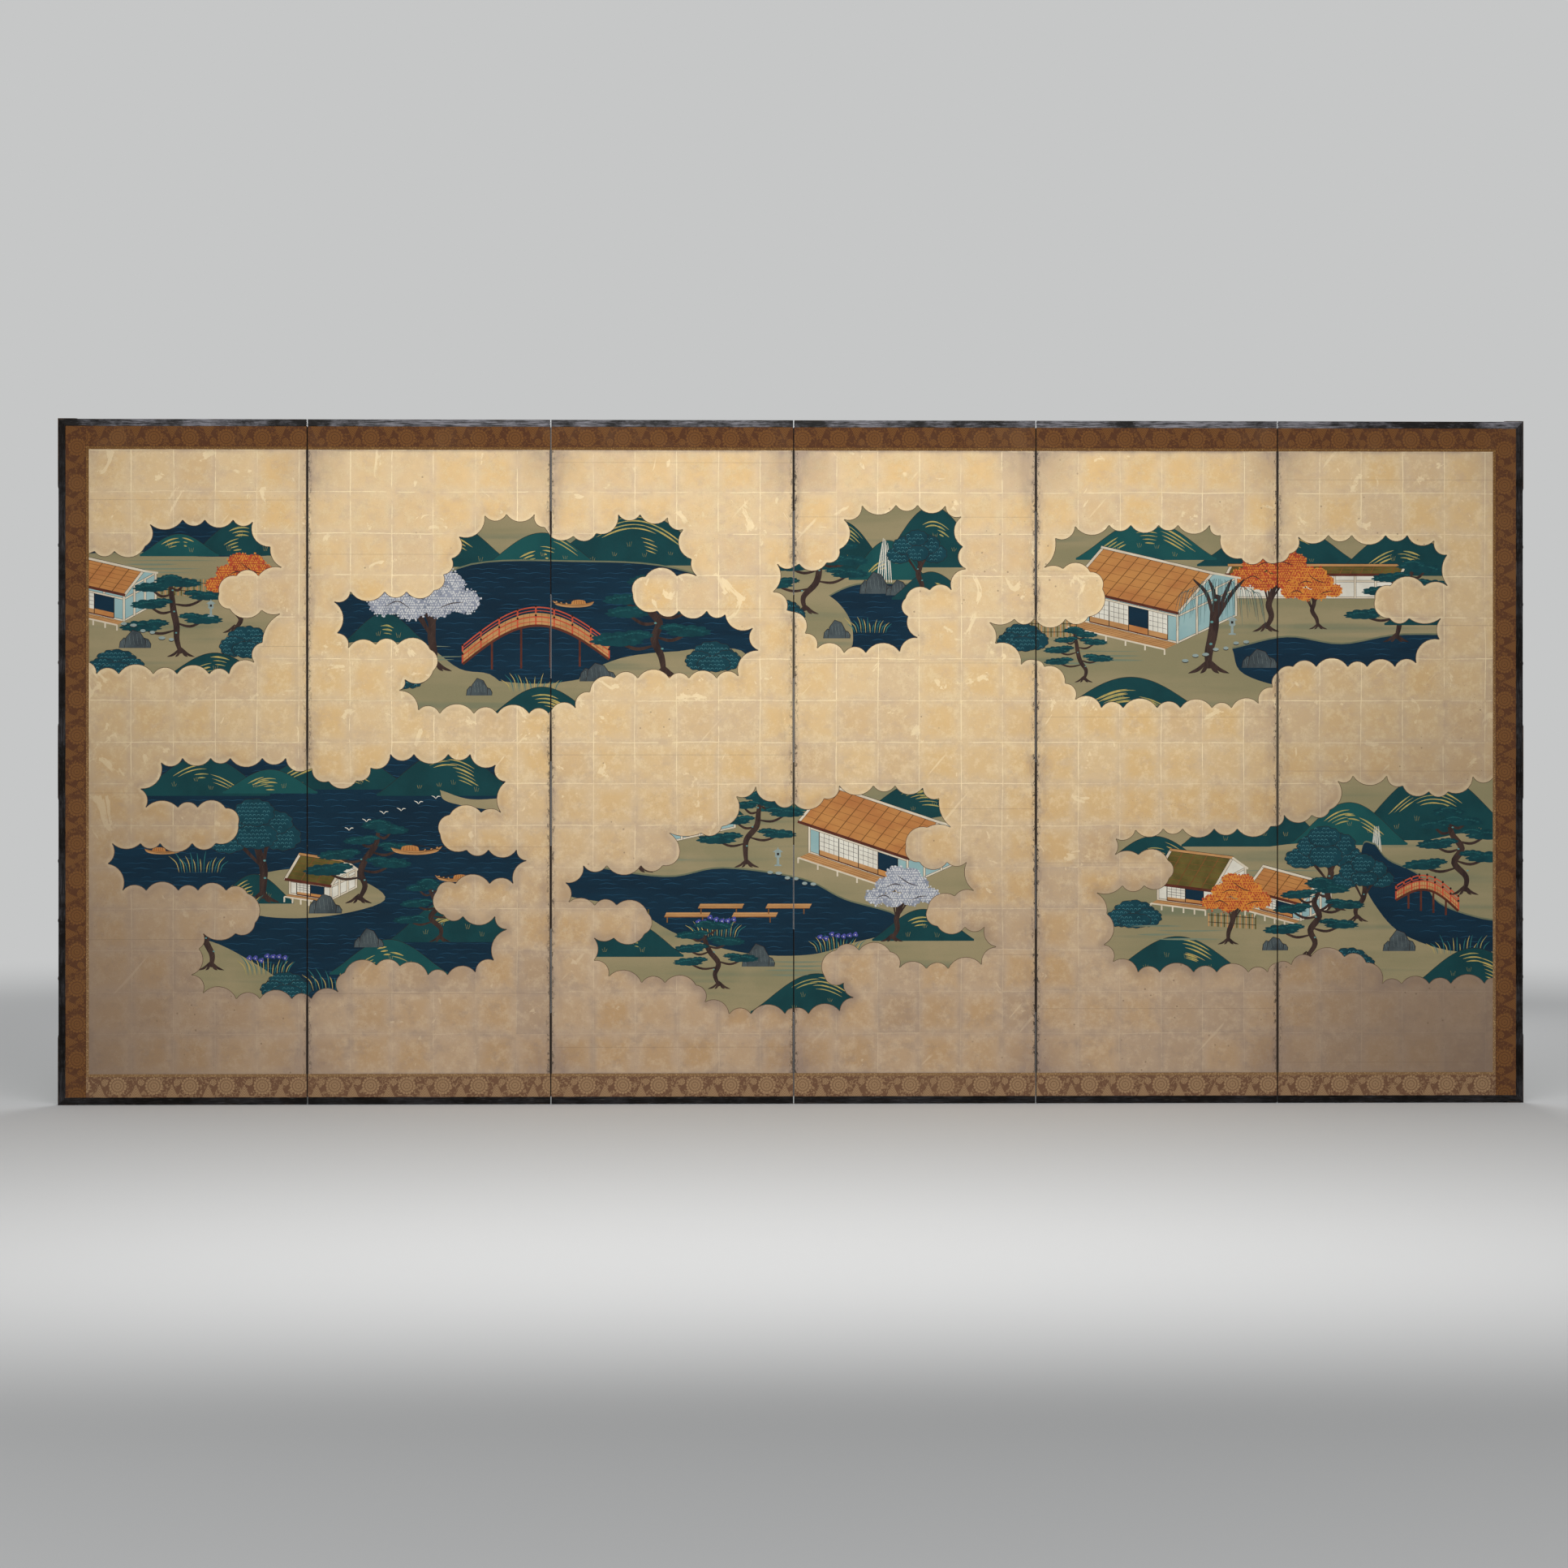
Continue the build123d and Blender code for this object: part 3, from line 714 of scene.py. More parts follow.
def crossings(edge, z):
    """Stretches of the line at height z that lie inside a closed edge."""
    cuts = sorted(a[0] + (z - a[1]) / (b[1] - a[1]) * (b[0] - a[0]) for a, b in zip(edge, edge[1:] + edge[:1])
                  if (a[1] < z) != (b[1] < z))
    return list(zip(cuts[::2], cuts[1::2]))


def land(*outline):
    """Dry land of the ground's own colour, laid over water."""
    fill("meadow", smooth([*outline, outline[0]], 6))


def mist(x, z, wide, seed, rows=4):
    """Thin green washes drawn across the land."""
    rng, washes = Random(seed), []
    for row in range(rows):
        left, high = x + rng.uniform(-0.2, 0.3) * wide, z + 11 * row + rng.uniform(-2, 2)
        length = wide * rng.uniform(0.4, 0.9)
        washes.append(([(left, high), (left + length / 2, high + rng.uniform(-2, 2)), (left + length, high)],
                       rng.uniform(2, 5), 0.95))
    lines("haze", *washes)


def rocks(x, z, size, seed):
    """A group of three rocks with dry brush strokes down their faces."""
    rng = Random(seed)
    for dx, scale in ((-0.45, 0.6), (0.5, 0.5), (0.0, 1.0)):
        w, h = size * scale, size * scale * rng.uniform(0.75, 1.05)
        cx = x + dx * size
        face = [(cx - w / 2, z), (cx - w * 0.42, z + h * 0.6), (cx - w * 0.12, z + h),
                (cx + w * 0.25, z + h * 0.86),
                (cx + w * 0.5, z + h * 0.4), (cx + w * 0.46, z)]
        fill("rock", face)
        lines("ink", (face, 1.6, 0.4, 1))
        lines("lichen",
              *[([(cx + w * k, z + h * 0.8 - abs(k) * h * 0.4), (cx + w * (k + 0.06), z + h * 0.2)], 1.3, 0.8)
                          for k in (-0.28, -0.1, 0.08, 0.27)])


def stones(x, z, count, pitch, climb, size=15):
    """Stepping stones across the land."""
    rng = Random(int(x))
    flat = [scallops(x + k * pitch, z + k * climb + 5 * (k % 2), size * rng.uniform(0.8, 1.1), size * 0.5, 7,
                     rng, 0.1)
            for k in range(count)]
    fill("ink", *[[(px, pz - 2) for px, pz in stone] for stone in flat])
    fill("lichen", *flat)


def lantern(x, z, tall):
    """A stone garden lantern."""
    def slab(low, high, foot, top, paint="lichen"):
        fill(paint, [(x - foot * tall, z + low * tall), (x + foot * tall, z + low * tall),
                     (x + top * tall, z + high * tall), (x - top * tall, z + high * tall)])

    slab(0.0, 0.08, 0.2, 0.16)
    slab(0.08, 0.45, 0.07, 0.06)
    slab(0.45, 0.53, 0.1, 0.19)
    slab(0.53, 0.74, 0.15, 0.15)
    slab(0.57, 0.7, 0.06, 0.06, "ink")
    slab(0.74, 0.88, 0.28, 0.1)
    slab(0.88, 1.0, 0.05, 0.01)


def fall_of_water(x, z, wide, tall):
    """Strands of white water that gather at the lip and part towards the foot."""
    rng = Random(int(abs(x)) + 7)
    strands = []
    for k in range(7):
        s = (k + 0.5) / 7
        foot, lip = x + wide * (1.3 * s - 0.15), x + wide * (0.32 + 0.46 * s)
        strands.append(([(foot, z + rng.uniform(0, 7)),
                         (foot * 0.55 + lip * 0.45 + rng.uniform(-1, 1), z + tall * 0.42),
                         (lip, z + tall * rng.uniform(0.8, 1.0))], wide * 0.07, 0.6))
    lines("foam", *strands)
    lines("wave", *[([(x + wide * s, z + tall * 0.08),
                      (x + wide * (0.38 + 0.25 * s), z + tall * rng.uniform(0.5, 0.75))], 1.6, 0.7)
                    for s in (0.14, 0.44, 0.78)])
    lines("foam", *[([(x - wide * 0.35 + wide * 0.3 * k, z - 4 - 3 * (k % 2)),
                      (x - wide * 0.18 + wide * 0.3 * k, z + 1 - 3 * (k % 2)),
                      (x + wide * 0.3 * k, z - 4 - 3 * (k % 2))], 2.4, 0.5) for k in range(6)])


# ---- Trees and plants ----
def twist(x, z, tall, lean, rng, bends=5):
    """A crooked trunk's line from its foot to its crown."""
    return [(x, z)] + [(x + lean * i / bends + rng.uniform(-0.1, 0.1) * tall * (i < bends),
                        z + tall * i / bends)
                       for i in range(1, bends + 1)]


def trunk(line, width, limbs, rng, moss=True):
    """A trunk on its line, with roots, limbs, strokes of bark and spots of moss."""
    foot = line[0]
    for side in (-1, -0.4, 0.5, 1):
        lines("trunk", ([(foot[0], foot[1] + width), (foot[0] + side * width, foot[1] - 1),
                         (foot[0] + side * width * 2.1, foot[1] - width * 0.5)],
                        width * 0.4, 0.9))
    for limb in (*limbs, (line, width, 0.45)):
        lines("trunk", limb)
    curve = smooth(line, 6)
    spots = [curve[int(share * len(curve))] for share in (0.08, 0.22, 0.36, 0.5, 0.64, 0.78)]
    marks = [([(a - width * 0.2, b), (a + width * rng.uniform(-0.1, 0.3), b + width * 0.6)], 1.1, 0.8)
             for a, b in spots]
    lines("bark_line", *marks)
    if moss:
        fill("moss", *[scallops(a + rng.uniform(-0.25, 0.25) * width, b + width, width * 0.3, width * 0.22, 5,
                                rng, steps=3)
                       for a, b in spots[1::2]])


def needles(x, z, wide, rng):
    """One flat pad of pine needles: a dark scalloped mass with pale tufts fanned along its top."""
    fill("needle", scallops(x, z, wide, wide * 0.36, 11, rng, 0.2, 0.5))
    tufts = []
    for k in range(8):
        share = (k - 3.5) / 4
        cx, cz = x + wide * 0.42 * share, z + wide * 0.1 * (1 - share * share) - wide * 0.02
        for angle in (-58, -29, 0, 29, 58):
            a = radians(angle + rng.uniform(-5, 5))
            tufts.append(([(cx + wide * r * sin(a), cz + wide * r * cos(a)) for r in (0.018, 0.062)],
                          max(0.9, wide * 0.009), 0.5))
    lines("needle_line", *tufts)


def pine(x, z, tall, lean, seed, spread=1.0):
    """A crooked old pine with tiers of flat needle pads."""
    rng = Random(seed)
    line = twist(x, z, tall * 0.92, lean, rng)
    curve = smooth(line, 6)
    pads, limbs = [], []
    for share, side, reach in ((0.34, -1, 0.44), (0.46, 1, 0.42), (0.6, -1, 0.36), (0.72, 1, 0.4),
                               (0.86, -1, 0.24), (0.95, 1, 0.2), (1.0, 0, 0)):
        start = curve[int(share * (len(curve) - 1))]
        tip = (start[0] + side * reach * tall * spread * rng.uniform(0.85, 1.15),
               start[1] + rng.uniform(0.0, 0.09) * tall)
        if side:
            limbs.append(([tuple(start), ((start[0] + tip[0]) / 2, (start[1] + tip[1]) / 2 - 0.06 * tall),
                           tip], tall * 0.036, 0.6))
        wide = tall * rng.uniform(0.4, 0.5) * (1.12 - 0.3 * share)
        pads += [(tip[0], tip[1], wide), (tip[0] - side * wide * 0.42, tip[1] + wide * 0.12, wide * 0.62)]
    trunk(line, tall * 0.085, limbs, rng)
    for px, pz, wide in pads:
        needles(px, pz, wide, rng)


# The masses of a bush: each one's place from the middle and its size, in shares of the bush's own.
BUSH = ((0, 0.12, 0.75, 0.8), (-0.27, -0.1, 0.5, 0.6), (0.28, -0.08, 0.5, 0.62), (0.02, -0.2, 0.6, 0.5))


def clump(x, z, wide, tall, seed, masses=BUSH):
    """A rounded bush: lobed masses with rows of small curved strokes, like scales, for its leaves."""
    rng = Random(seed)
    for dx, dz, w, h in masses:
        cx, cz, w, h = x + dx * wide, z + dz * tall, w * wide, h * tall
        edge = scallops(cx, cz, w, h, 11, rng, 0.13)
        fill("leafage", edge)
        lines("ink", (edge[::2] + edge[:1], 1.0, 0.0, 2))
        scales, step = [], 9.5
        for row in range(int(h / step)):
            zz = cz - h / 2 + step * (row + 0.6)
            half = w / 2 * max(0.0, 1 - ((zz - cz) / (h / 2)) ** 2) ** 0.5 * 0.9
            xx = cx - half + (row % 2) * step * 0.6
            while xx < cx + half - 5:
                if rng.random() < 0.9:
                    scale = [(xx - 4, zz - 1.8), (xx - 2, zz + 2.2), (xx + 2, zz + 2.4), (xx + 4.2, zz - 1.6)]
                    scales.append((scale, 1.2, 0.7, 2))
                xx += step * 1.1
        if scales:
            lines("leafage_line", *scales)


def leafy_tree(x, z, tall, lean, seed):
    """A broad-leaved tree: crooked trunk, forked limbs and a crown of rounded masses."""
    rng = Random(seed)
    line = twist(x, z, tall * 0.66, lean, rng, 4)
    top = line[-1]
    limbs = [([line[2], (top[0] + k * tall * 0.14, top[1] - tall * 0.08),
               (top[0] + k * tall * 0.28, top[1] + tall * 0.06)],
              tall * 0.04, 0.5) for k in (-1, 1)]
    trunk(line, tall * 0.09, limbs, rng)
    masses = ((-0.3, 0.0), (0.3, 0.02), (-0.17, 0.16), (0.2, 0.18), (0.02, 0.03), (0.0, 0.29))
    for k, (dx, dz) in enumerate(masses):
        clump(top[0] + dx * tall, top[1] + dz * tall, tall * rng.uniform(0.34, 0.44),
              tall * rng.uniform(0.24, 0.3), seed * 7 + k, ((0, 0, 1, 1),))


def dotted_tree(x, z, tall, lean, seed, paints=("blossom", "blossom_light")):
    """A tree whose crown is a cloud of dabs: blossom in spring or maple leaves in autumn."""
    rng = Random(seed)
    line = twist(x, z, tall * 0.56, lean, rng, 4)
    top = line[-1]
    limbs = [([line[2], (top[0] + k * 0.5, top[1] + abs(k) * 0.2), (top[0] + k, top[1] + tall * 0.2)],
              tall * 0.03, 0.6)
             for k in (-0.3 * tall, -0.13 * tall, 0.14 * tall, 0.32 * tall)]
    trunk(line, tall * 0.075, limbs, rng, moss=False)
    mounds = [(top[0] + dx * tall, top[1] + dz * tall) for dx, dz in
              ((-0.36, 0.04), (-0.12, 0.0), (0.14, 0.02), (0.38, 0.06), (-0.22, 0.2), (0.04, 0.2),
               (0.24, 0.22), (-0.06, 0.36), (0.12, 0.34))]
    for cx, cz in mounds:
        fill(paints[0], scallops(cx, cz, tall * 0.28, tall * 0.2, 13, rng, 0.14))
    for paint, size in ((paints[1], 6.5), (paints[0], 5.0), (paints[1], 4.5)):
        dabs, shift, pitch = [], rng.uniform(0, 9), size + 1.2
        for i in range(int(tall * 1.2 / pitch)):
            for k in range(int(tall * 0.8 / pitch)):
                px = top[0] - 0.6 * tall + shift + (i + 0.5 * (k % 2)) * pitch
                pz = top[1] - 0.2 * tall + shift + k * pitch
                nearest = min(hypot((px - cx) / 1.25, pz - cz) for cx, cz in mounds)
                if nearest < tall * 0.12 * rng.uniform(0.7, 1.15) and rng.random() < 0.8:
                    dabs.append(scallops(px, pz, rng.uniform(0.6, 0.95) * size, rng.uniform(0.6, 0.95) * size,
                                         4, rng, 0.2, steps=2))
        fill(paint, *dabs)
    for a, b in zip(mounds[::2], mounds[1::2]):
        lines("trunk", ([(a[0], a[1] - 0.03 * tall), ((a[0] + b[0]) / 2, a[1] + 0.02 * tall),
                         (b[0], b[1] - 0.01 * tall)], 2.4, 0.8))


def willow(x, z, tall, lean, seed):
    """A bare old willow with long hanging twigs."""
    rng = Random(seed)
    line = twist(x, z, tall * 0.75, lean, rng, 5)
    top = line[-1]
    limbs = [([line[3], (top[0] + k * tall * 0.12, top[1]), (top[0] + k * tall * 0.26, top[1] + tall * 0.16)],
              tall * 0.04, 0.6) for k in (-1, -0.4, 0.5, 1)]
    trunk(line, tall * 0.1, limbs, rng)
    for paint, shift in (("leafage", 0), ("needle_line", 1), ("leafage", 2)):
        twigs = []
        for k in range(-6, 7):
            hook = (top[0] + (k + 0.3 * shift) * tall * 0.055,
                    top[1] + tall * (0.16 - 0.0035 * k * k) + rng.uniform(-4, 4))
            out = k * tall * 0.02
            twigs.append(([hook, (hook[0] + out * 0.6, hook[1] - tall * 0.05),
                           (hook[0] + out, hook[1] - tall * rng.uniform(0.2, 0.46))], 1.3, 0.7))
        lines(paint, *twigs)


def reeds(x, z, wide, tall, seed, count=16):
    """A tuft of reeds that fans out from the ground."""
    rng = Random(seed)
    for paint, shift in (("contour", 0.0), ("needle_line", 0.5)):
        blades = []
        for k in range(count // 2):
            share = 2 * (k + shift) / count
            foot, bend = x + share * wide, (share - 0.5) * tall * 0.9 + rng.uniform(-3, 3)
            high = tall * rng.uniform(0.5, 1.0)
            blade = [(foot, z), (foot + bend * 0.3, z + high * 0.6), (foot + bend, z + high)]
            blades.append((blade, 2.0, 0.8, 4))
        lines(paint, *blades)


def irises(x, z, wide, tall, seed):
    """Irises: reeds with a row of violet heads."""
    rng = Random(seed)
    reeds(x, z, wide, tall, seed, 20)
    heads = [(x + (k + 0.5) * 15, z + tall * rng.uniform(0.7, 1.0)) for k in range(int(wide / 15))]
    fill("iris", *[scallops(hx, hz, 10, 9, 3, rng, 0.5) for hx, hz in heads])
    fill("foam", *[scallops(hx, hz - 1, 2.4, 3, 4, rng, 0.2, steps=2) for hx, hz in heads])


# ---- Buildings, drawn in slanting projection ----
class Plane:
    """A flat face of a building: a corner and the two edges that leave it."""

    def __init__(self, x, z, along, up):
        self.corner = np.array((x, z), float)
        self.along, self.up = np.array(along, float), np.array(up, float)

    def at(self, s, t):
        """The spot that is s of the way along the face and t of the way up."""
        return tuple(self.corner + s * self.along + t * self.up)

    def patch(self, s0=0.0, s1=1.0, t0=0.0, t1=1.0):
        """An oblong part of the face, or all of it."""
        return [self.at(s0, t0), self.at(s1, t0), self.at(s1, t1), self.at(s0, t1)]

    def stroke(self, s0, t0, s1, t1, width):
        """A straight brush stroke on the face that keeps its width."""
        return [self.at(s0, t0), self.at(s1, t1)], width, 0.0


def bars(plane, strokes, width):
    """Pale timbers, each with a fine dark line down both sides."""
    lines("ink", *[plane.stroke(*stroke, width + 1.6) for stroke in strokes])
    lines("white", *[plane.stroke(*stroke, width) for stroke in strokes])


def wall(plane, bays, paint="wall"):
    """A plastered wall in bays between pale posts and rails."""
    fill(paint, plane.patch())
    bars(plane, [(0, t, 1, t) for t in (0.02, 0.72, 1.0)], 4.0)
    bars(plane, [(k / bays, 0, k / bays, 1) for k in range(bays + 1)], 5.0)


def screens(plane, s0, s1, bays, open_bay=-1):
    """Sliding paper screens with a fine dark lattice, and a dark room behind one that stands open."""
    step = (s1 - s0) / bays
    starts = [s0 + step * k for k in range(bays) if k != open_bay]
    room = s0 + step * open_bay
    fill("water", plane.patch(room, room + step, 0.04, 0.7))
    fill("shingle", plane.patch(room, room + step, 0.04, 0.2))
    fill("foam", *[plane.patch(a, a + step, 0.04, 0.7) for a in starts])
    fill("board", *[plane.patch(a, a + step, 0.04, 0.18) for a in starts])
    lines("ink", *[plane.stroke(a + step * j / 4, 0.18, a + step * j / 4, 0.7, 0.8) for a in starts
                   for j in (1, 2, 3)])
    lines("ink",
          *[plane.stroke(a + 0.01, t, a + step - 0.01, t, 0.8) for a in starts for t in (0.31, 0.44, 0.57)])
    lines("ink", *[plane.stroke(s0 + step * k, 0.03, s0 + step * k, 0.7, 2.0) for k in range(bays + 1)])
    bars(plane, [(s0, 0.72, s1, 0.72)], 4.0)
    lines("eave", plane.stroke(s0, 0.03, s1, 0.03, 3.0))


def roofed(plane, paint="shingle", pitch=30.0, courses=6):
    """A boarded roof: fine courses along it, battens down it, and a pale ridge and verges."""
    fill(paint, plane.patch())
    count = max(3, int(hypot(*plane.along) / pitch))
    lines("shingle_line", *[plane.stroke(0, k / courses, 1, k / courses, 0.9) for k in range(1, courses)])
    lines("shingle_line", *[plane.stroke(k / count, 0, k / count, 1, 2.2) for k in range(1, count)])
    bars(plane, [(s, -0.04, s, 1.02) for s in (0, 1)], 6.0)
    lines("ink", plane.stroke(-0.02, 1, 1.02, 1, 8.0))
    lines("white" if paint == "shingle" else "board", plane.stroke(-0.02, 1, 1.02, 1, 6.0))
    lines("eave", plane.stroke(-0.01, -0.02, 1.01, -0.02, 7.0))


def deck(plane, height=14):
    """A boarded veranda on short posts."""
    feet = [plane.at(k / 5, 0) for k in range(6)]
    lines("white", *[([(a, b), (a, b - height)], 4.0, 0.0) for a, b in feet])
    fill("board", plane.patch())
    count = max(3, int(hypot(*plane.up) / 7))
    lines("shingle_line", *[plane.stroke(0, k / count, 1, k / count, 0.8) for k in range(1, count)])
    lines("white", plane.stroke(0, 0, 1, 0, 4.0))


def house(x, z, along, deep, tall, rise, paint="shingle", bays=4, opened=1, plaster="wall"):
    """A house seen from above: veranda, screened front, plastered end wall, gable and roof."""
    veranda, over_ends, over_eave = 0.22, 0.06, 0.16
    along, deep = np.array(along, float), np.array(deep, float)
    front = Plane(x, z, along, (0, tall))
    deck(Plane(*(np.array((x, z)) - deep * veranda), along, deep * veranda))
    end = Plane(*(np.array((x, z)) + along), deep, (0, tall))
    fill(plaster, [end.at(0, 1), end.at(1, 1), tuple(np.array(end.at(0.5, 1)) + (0, rise))])
    wall(end, 3, plaster)
    wall(front, bays, plaster)
    screens(front, 0.5 / bays, 1 - 0.5 / bays, bays - 1, opened)
    up = deep * 0.5 + (0, rise)
    start = np.array(front.at(0, 1)) - along * over_ends - up * over_eave
    length, slope = along * (1 + 2 * over_ends), up * (1 + over_eave)
    roofed(Plane(*start, length, slope), paint)
    ridge = start + length + slope
    lines("white", ([tuple(ridge), tuple(np.array(end.at(1.08, 1)) - (0, rise * 0.1))], 5.0, 0.0))


def fence(x, z, wide, tall, fall=0.0, pitch=8.0):
    """A brushwood fence tied with two rails."""
    rng = Random(int(x + z))
    plane = Plane(x, z, (wide, -fall), (0, tall))
    count = int(wide / pitch)
    for paint, first in (("board", 0), ("thatch", 1)):
        lines(paint, *[plane.stroke(k / count, 0, k / count + rng.uniform(-0.003, 0.003),
                                    rng.uniform(0.9, 1.06), 3.2)
                       for k in range(first, count + 1, 2)])
    lines("ink", *[plane.stroke(-0.01, t, 1.01, t, 1.6) for t in (0.3, 0.8)])


def bridge(x0, z0, x1, z1, rise, deep):
    """An arched bridge with railings on both sides."""
    def along(t, lift=0.0):
        return (x0 + (x1 - x0) * t, z0 + (z1 - z0) * t + rise * sin(pi * t) + lift)

    spans = np.linspace(0, 1, 25)
    far, near = [along(t, deep) for t in spans], [along(t) for t in spans]
    lines("eave",
          *[([along(t, 0), (along(t)[0], z0 - 18 + (z1 - z0) * t)], 5.0, 0.0) for t in (0.2, 0.4, 0.6, 0.8)])
    fill("board", near + far[::-1])
    lines("shingle_line", *[([near[k], far[k]], 0.9, 0.0) for k in range(1, 24)])
    for lift, reach in ((deep, 17), (0, 24)):
        lines("vermilion", *[([along(t, lift + reach * share) for t in spans[::3]], thick, 0.0)
                             for share, thick in ((0.35, 2.0), (0.85, 3.2))])
        lines("vermilion",
              *[([along(t, lift), along(t, lift + reach)], 4.0, 0.0) for t in np.linspace(0, 1, 9)])
        fill("ink",
             *[scallops(*along(t, lift + reach), 5, 6, 6, Random(3), steps=2) for t in np.linspace(0, 1, 9)])
    lines("eave", ([along(t, -2) for t in spans[::3]], 6.0, 0.0))


def boat(x, z, wide, flip=1):
    """A long, low, empty boat with thwarts, a mat tunnel aft and a pole laid along it."""
    def spot(s, rise):
        return (x + flip * wide * s, z + wide * rise)

    def curve(*places):
        return smooth([spot(*place) for place in places], 4)

    rim = curve((-0.5, 0.105), (-0.3, 0.058), (0.0, 0.04), (0.3, 0.055), (0.52, 0.13))
    keel = curve((0.52, 0.13), (0.4, 0.015), (0.1, -0.035), (-0.25, -0.025), (-0.43, 0.02), (-0.5, 0.105))
    fill("board", rim + keel[1:-1])
    lines("shingle_line", (rim, 2.2, 0.3), (curve((-0.46, 0.06), (0.0, 0.0), (0.44, 0.07)), 1.2, 0.3))
    fill("shingle", curve((-0.3, 0.05), (-0.27, 0.125), (-0.12, 0.15), (0.03, 0.12), (0.06, 0.035)))
    lines("shingle_line", *[([spot(s, 0.05), spot(s * 0.85 - 0.02, 0.139)], 1.2, 0.0)
                            for s in (-0.25, -0.19, -0.13, -0.07, -0.01)])
    lines("board", *[([spot(s, 0.045 + 0.02 * k), spot(s + 0.03, 0.075 + 0.02 * k)], 3.0, 0.0)
                     for k, s in enumerate((0.16, 0.29, 0.4))])
    lines("ink", ([spot(-0.08, 0.165), spot(0.2, 0.12), spot(0.6, 0.03)], 1.8, 0.4))


def planks(x, z, steps, wide=112, climb=22):
    """A zigzag bridge of planks on stakes over shallow water."""
    for k in range(steps):
        px, pz = x + k * (wide - 26), z + (k % 2) * climb
        lines("shingle_line", *[([(px + dx, pz + 4), (px + dx, pz - 14)], 3.0, 0.0) for dx in (8, wide - 14)])
        plane = Plane(px, pz, (wide, 0), (6, 12))
        fill("board", plane.patch())
        lines("shingle_line", plane.stroke(0, 0.5, 1, 0.5, 0.9), plane.stroke(0, 0.05, 1, 0.05, 2.0))


def geese(x, z, count, spread, seed):
    """A skein of wild geese, each two short strokes."""
    rng = Random(seed)
    for k in range(count):
        gx, gz = x + k * spread, z + k * spread * 0.35 + rng.uniform(-6, 6)
        lines("foam", ([(gx - 11, gz + 6), (gx - 4, gz + 3), (gx, gz - 2)], 2.4, 0.8, 3))
        lines("foam", ([(gx, gz - 2), (gx + 5, gz + 4), (gx + 12, gz + 4)], 2.4, 0.8, 3))


# ---- The scenes between the clouds, upper row and then lower row, from left to right ----
def tea_house():
    water([(-1840, 1398), (-1640, 1404), (-1480, 1392), (-1260, 1410), (-1260, 1520), (-1840, 1520)], 11)
    hill(-1400, 1400, 260, 86, 12)
    hill(-1560, 1398, 200, 52, 13, "hill_light")
    mist(-1700, 1350, 300, 14)
    fence(-1660, 1300, 210, 44, 14)
    house(-1850, 1262, (150, -34), (80, 44), 78, 30, bays=3)
    dotted_tree(-1420, 1206, 190, 24, 15, ("maple", "maple_light"))
    pine(-1556, 1146, 196, -26, 16)
    clump(-1388, 1172, 130, 80, 17)
    rocks(-1672, 1160, 54, 18)
    stones(-1700, 1222, 6, 24, -9)
    lantern(-1480, 1240, 44)
    hill(-1470, 1086, 260, 62, 19)
    clump(-1720, 1120, 130, 66, 20)


def arched_bridge():
    hill(-900, 1372, 380, 120, 21)
    hill(-420, 1376, 460, 130, 22, "hill", 0.4)
    hill(-640, 1370, 300, 84, 23, "hill_light")
    water([(-1210, 1310), (-1000, 1290), (-820, 1372), (-560, 1380), (-300, 1362), (-60, 1262), (-60, 1140),
           (-260, 1158), (-420, 1110), (-640, 1070), (-860, 1100), (-1020, 1180), (-1210, 1176)], 24)
    land((-1090, 1182), (-950, 1174), (-850, 1108), (-760, 1086), (-700, 980), (-1090, 980))
    land((-540, 1096), (-420, 1140), (-250, 1154), (-120, 1144), (-120, 980), (-560, 980))
    mist(-1010, 1130, 180, 25)
    hill(-1040, 1180, 200, 70, 26)
    bridge(-842, 1122, -470, 1134, 92, 30)
    dotted_tree(-912, 1112, 270, -30, 27)
    clump(-1010, 1090, 130, 76, 28)
    pine(-330, 1096, 236, -46, 29)
    rocks(-498, 1076, 62, 30)
    boat(-560, 1268, 104, -1)
    clump(-206, 1136, 130, 76, 31)
    reeds(-720, 1050, 120, 50, 32)
    planks(-440, 1054, 2, 90)
    hill(-640, 978, 300, 84, 33)
    rocks(-800, 1040, 44, 34)


def waterfall():
    hill(120, 1366, 240, 120, 121)
    hill(360, 1372, 280, 150, 122, "hill", -0.3)
    hill(240, 1340, 200, 96, 123, "hill_light")
    fall_of_water(214, 1318, 34, 130)
    water([(60, 1276), (160, 1322), (300, 1322), (420, 1310), (420, 1150), (60, 1150)], 124)
    rocks(210, 1300, 56, 125)
    rocks(268, 1296, 44, 126)
    land((-80, 1300), (40, 1310), (110, 1280), (150, 1210), (120, 1140), (-80, 1140))
    pine(30, 1256, 190, 54, 127)
    hill(350, 1290, 200, 66, 128)
    clump(-20, 1250, 90, 60, 129)
    leafy_tree(330, 1300, 150, -16, 130)
    reeds(150, 1200, 90, 44, 131)
    rocks(110, 1186, 46, 132)


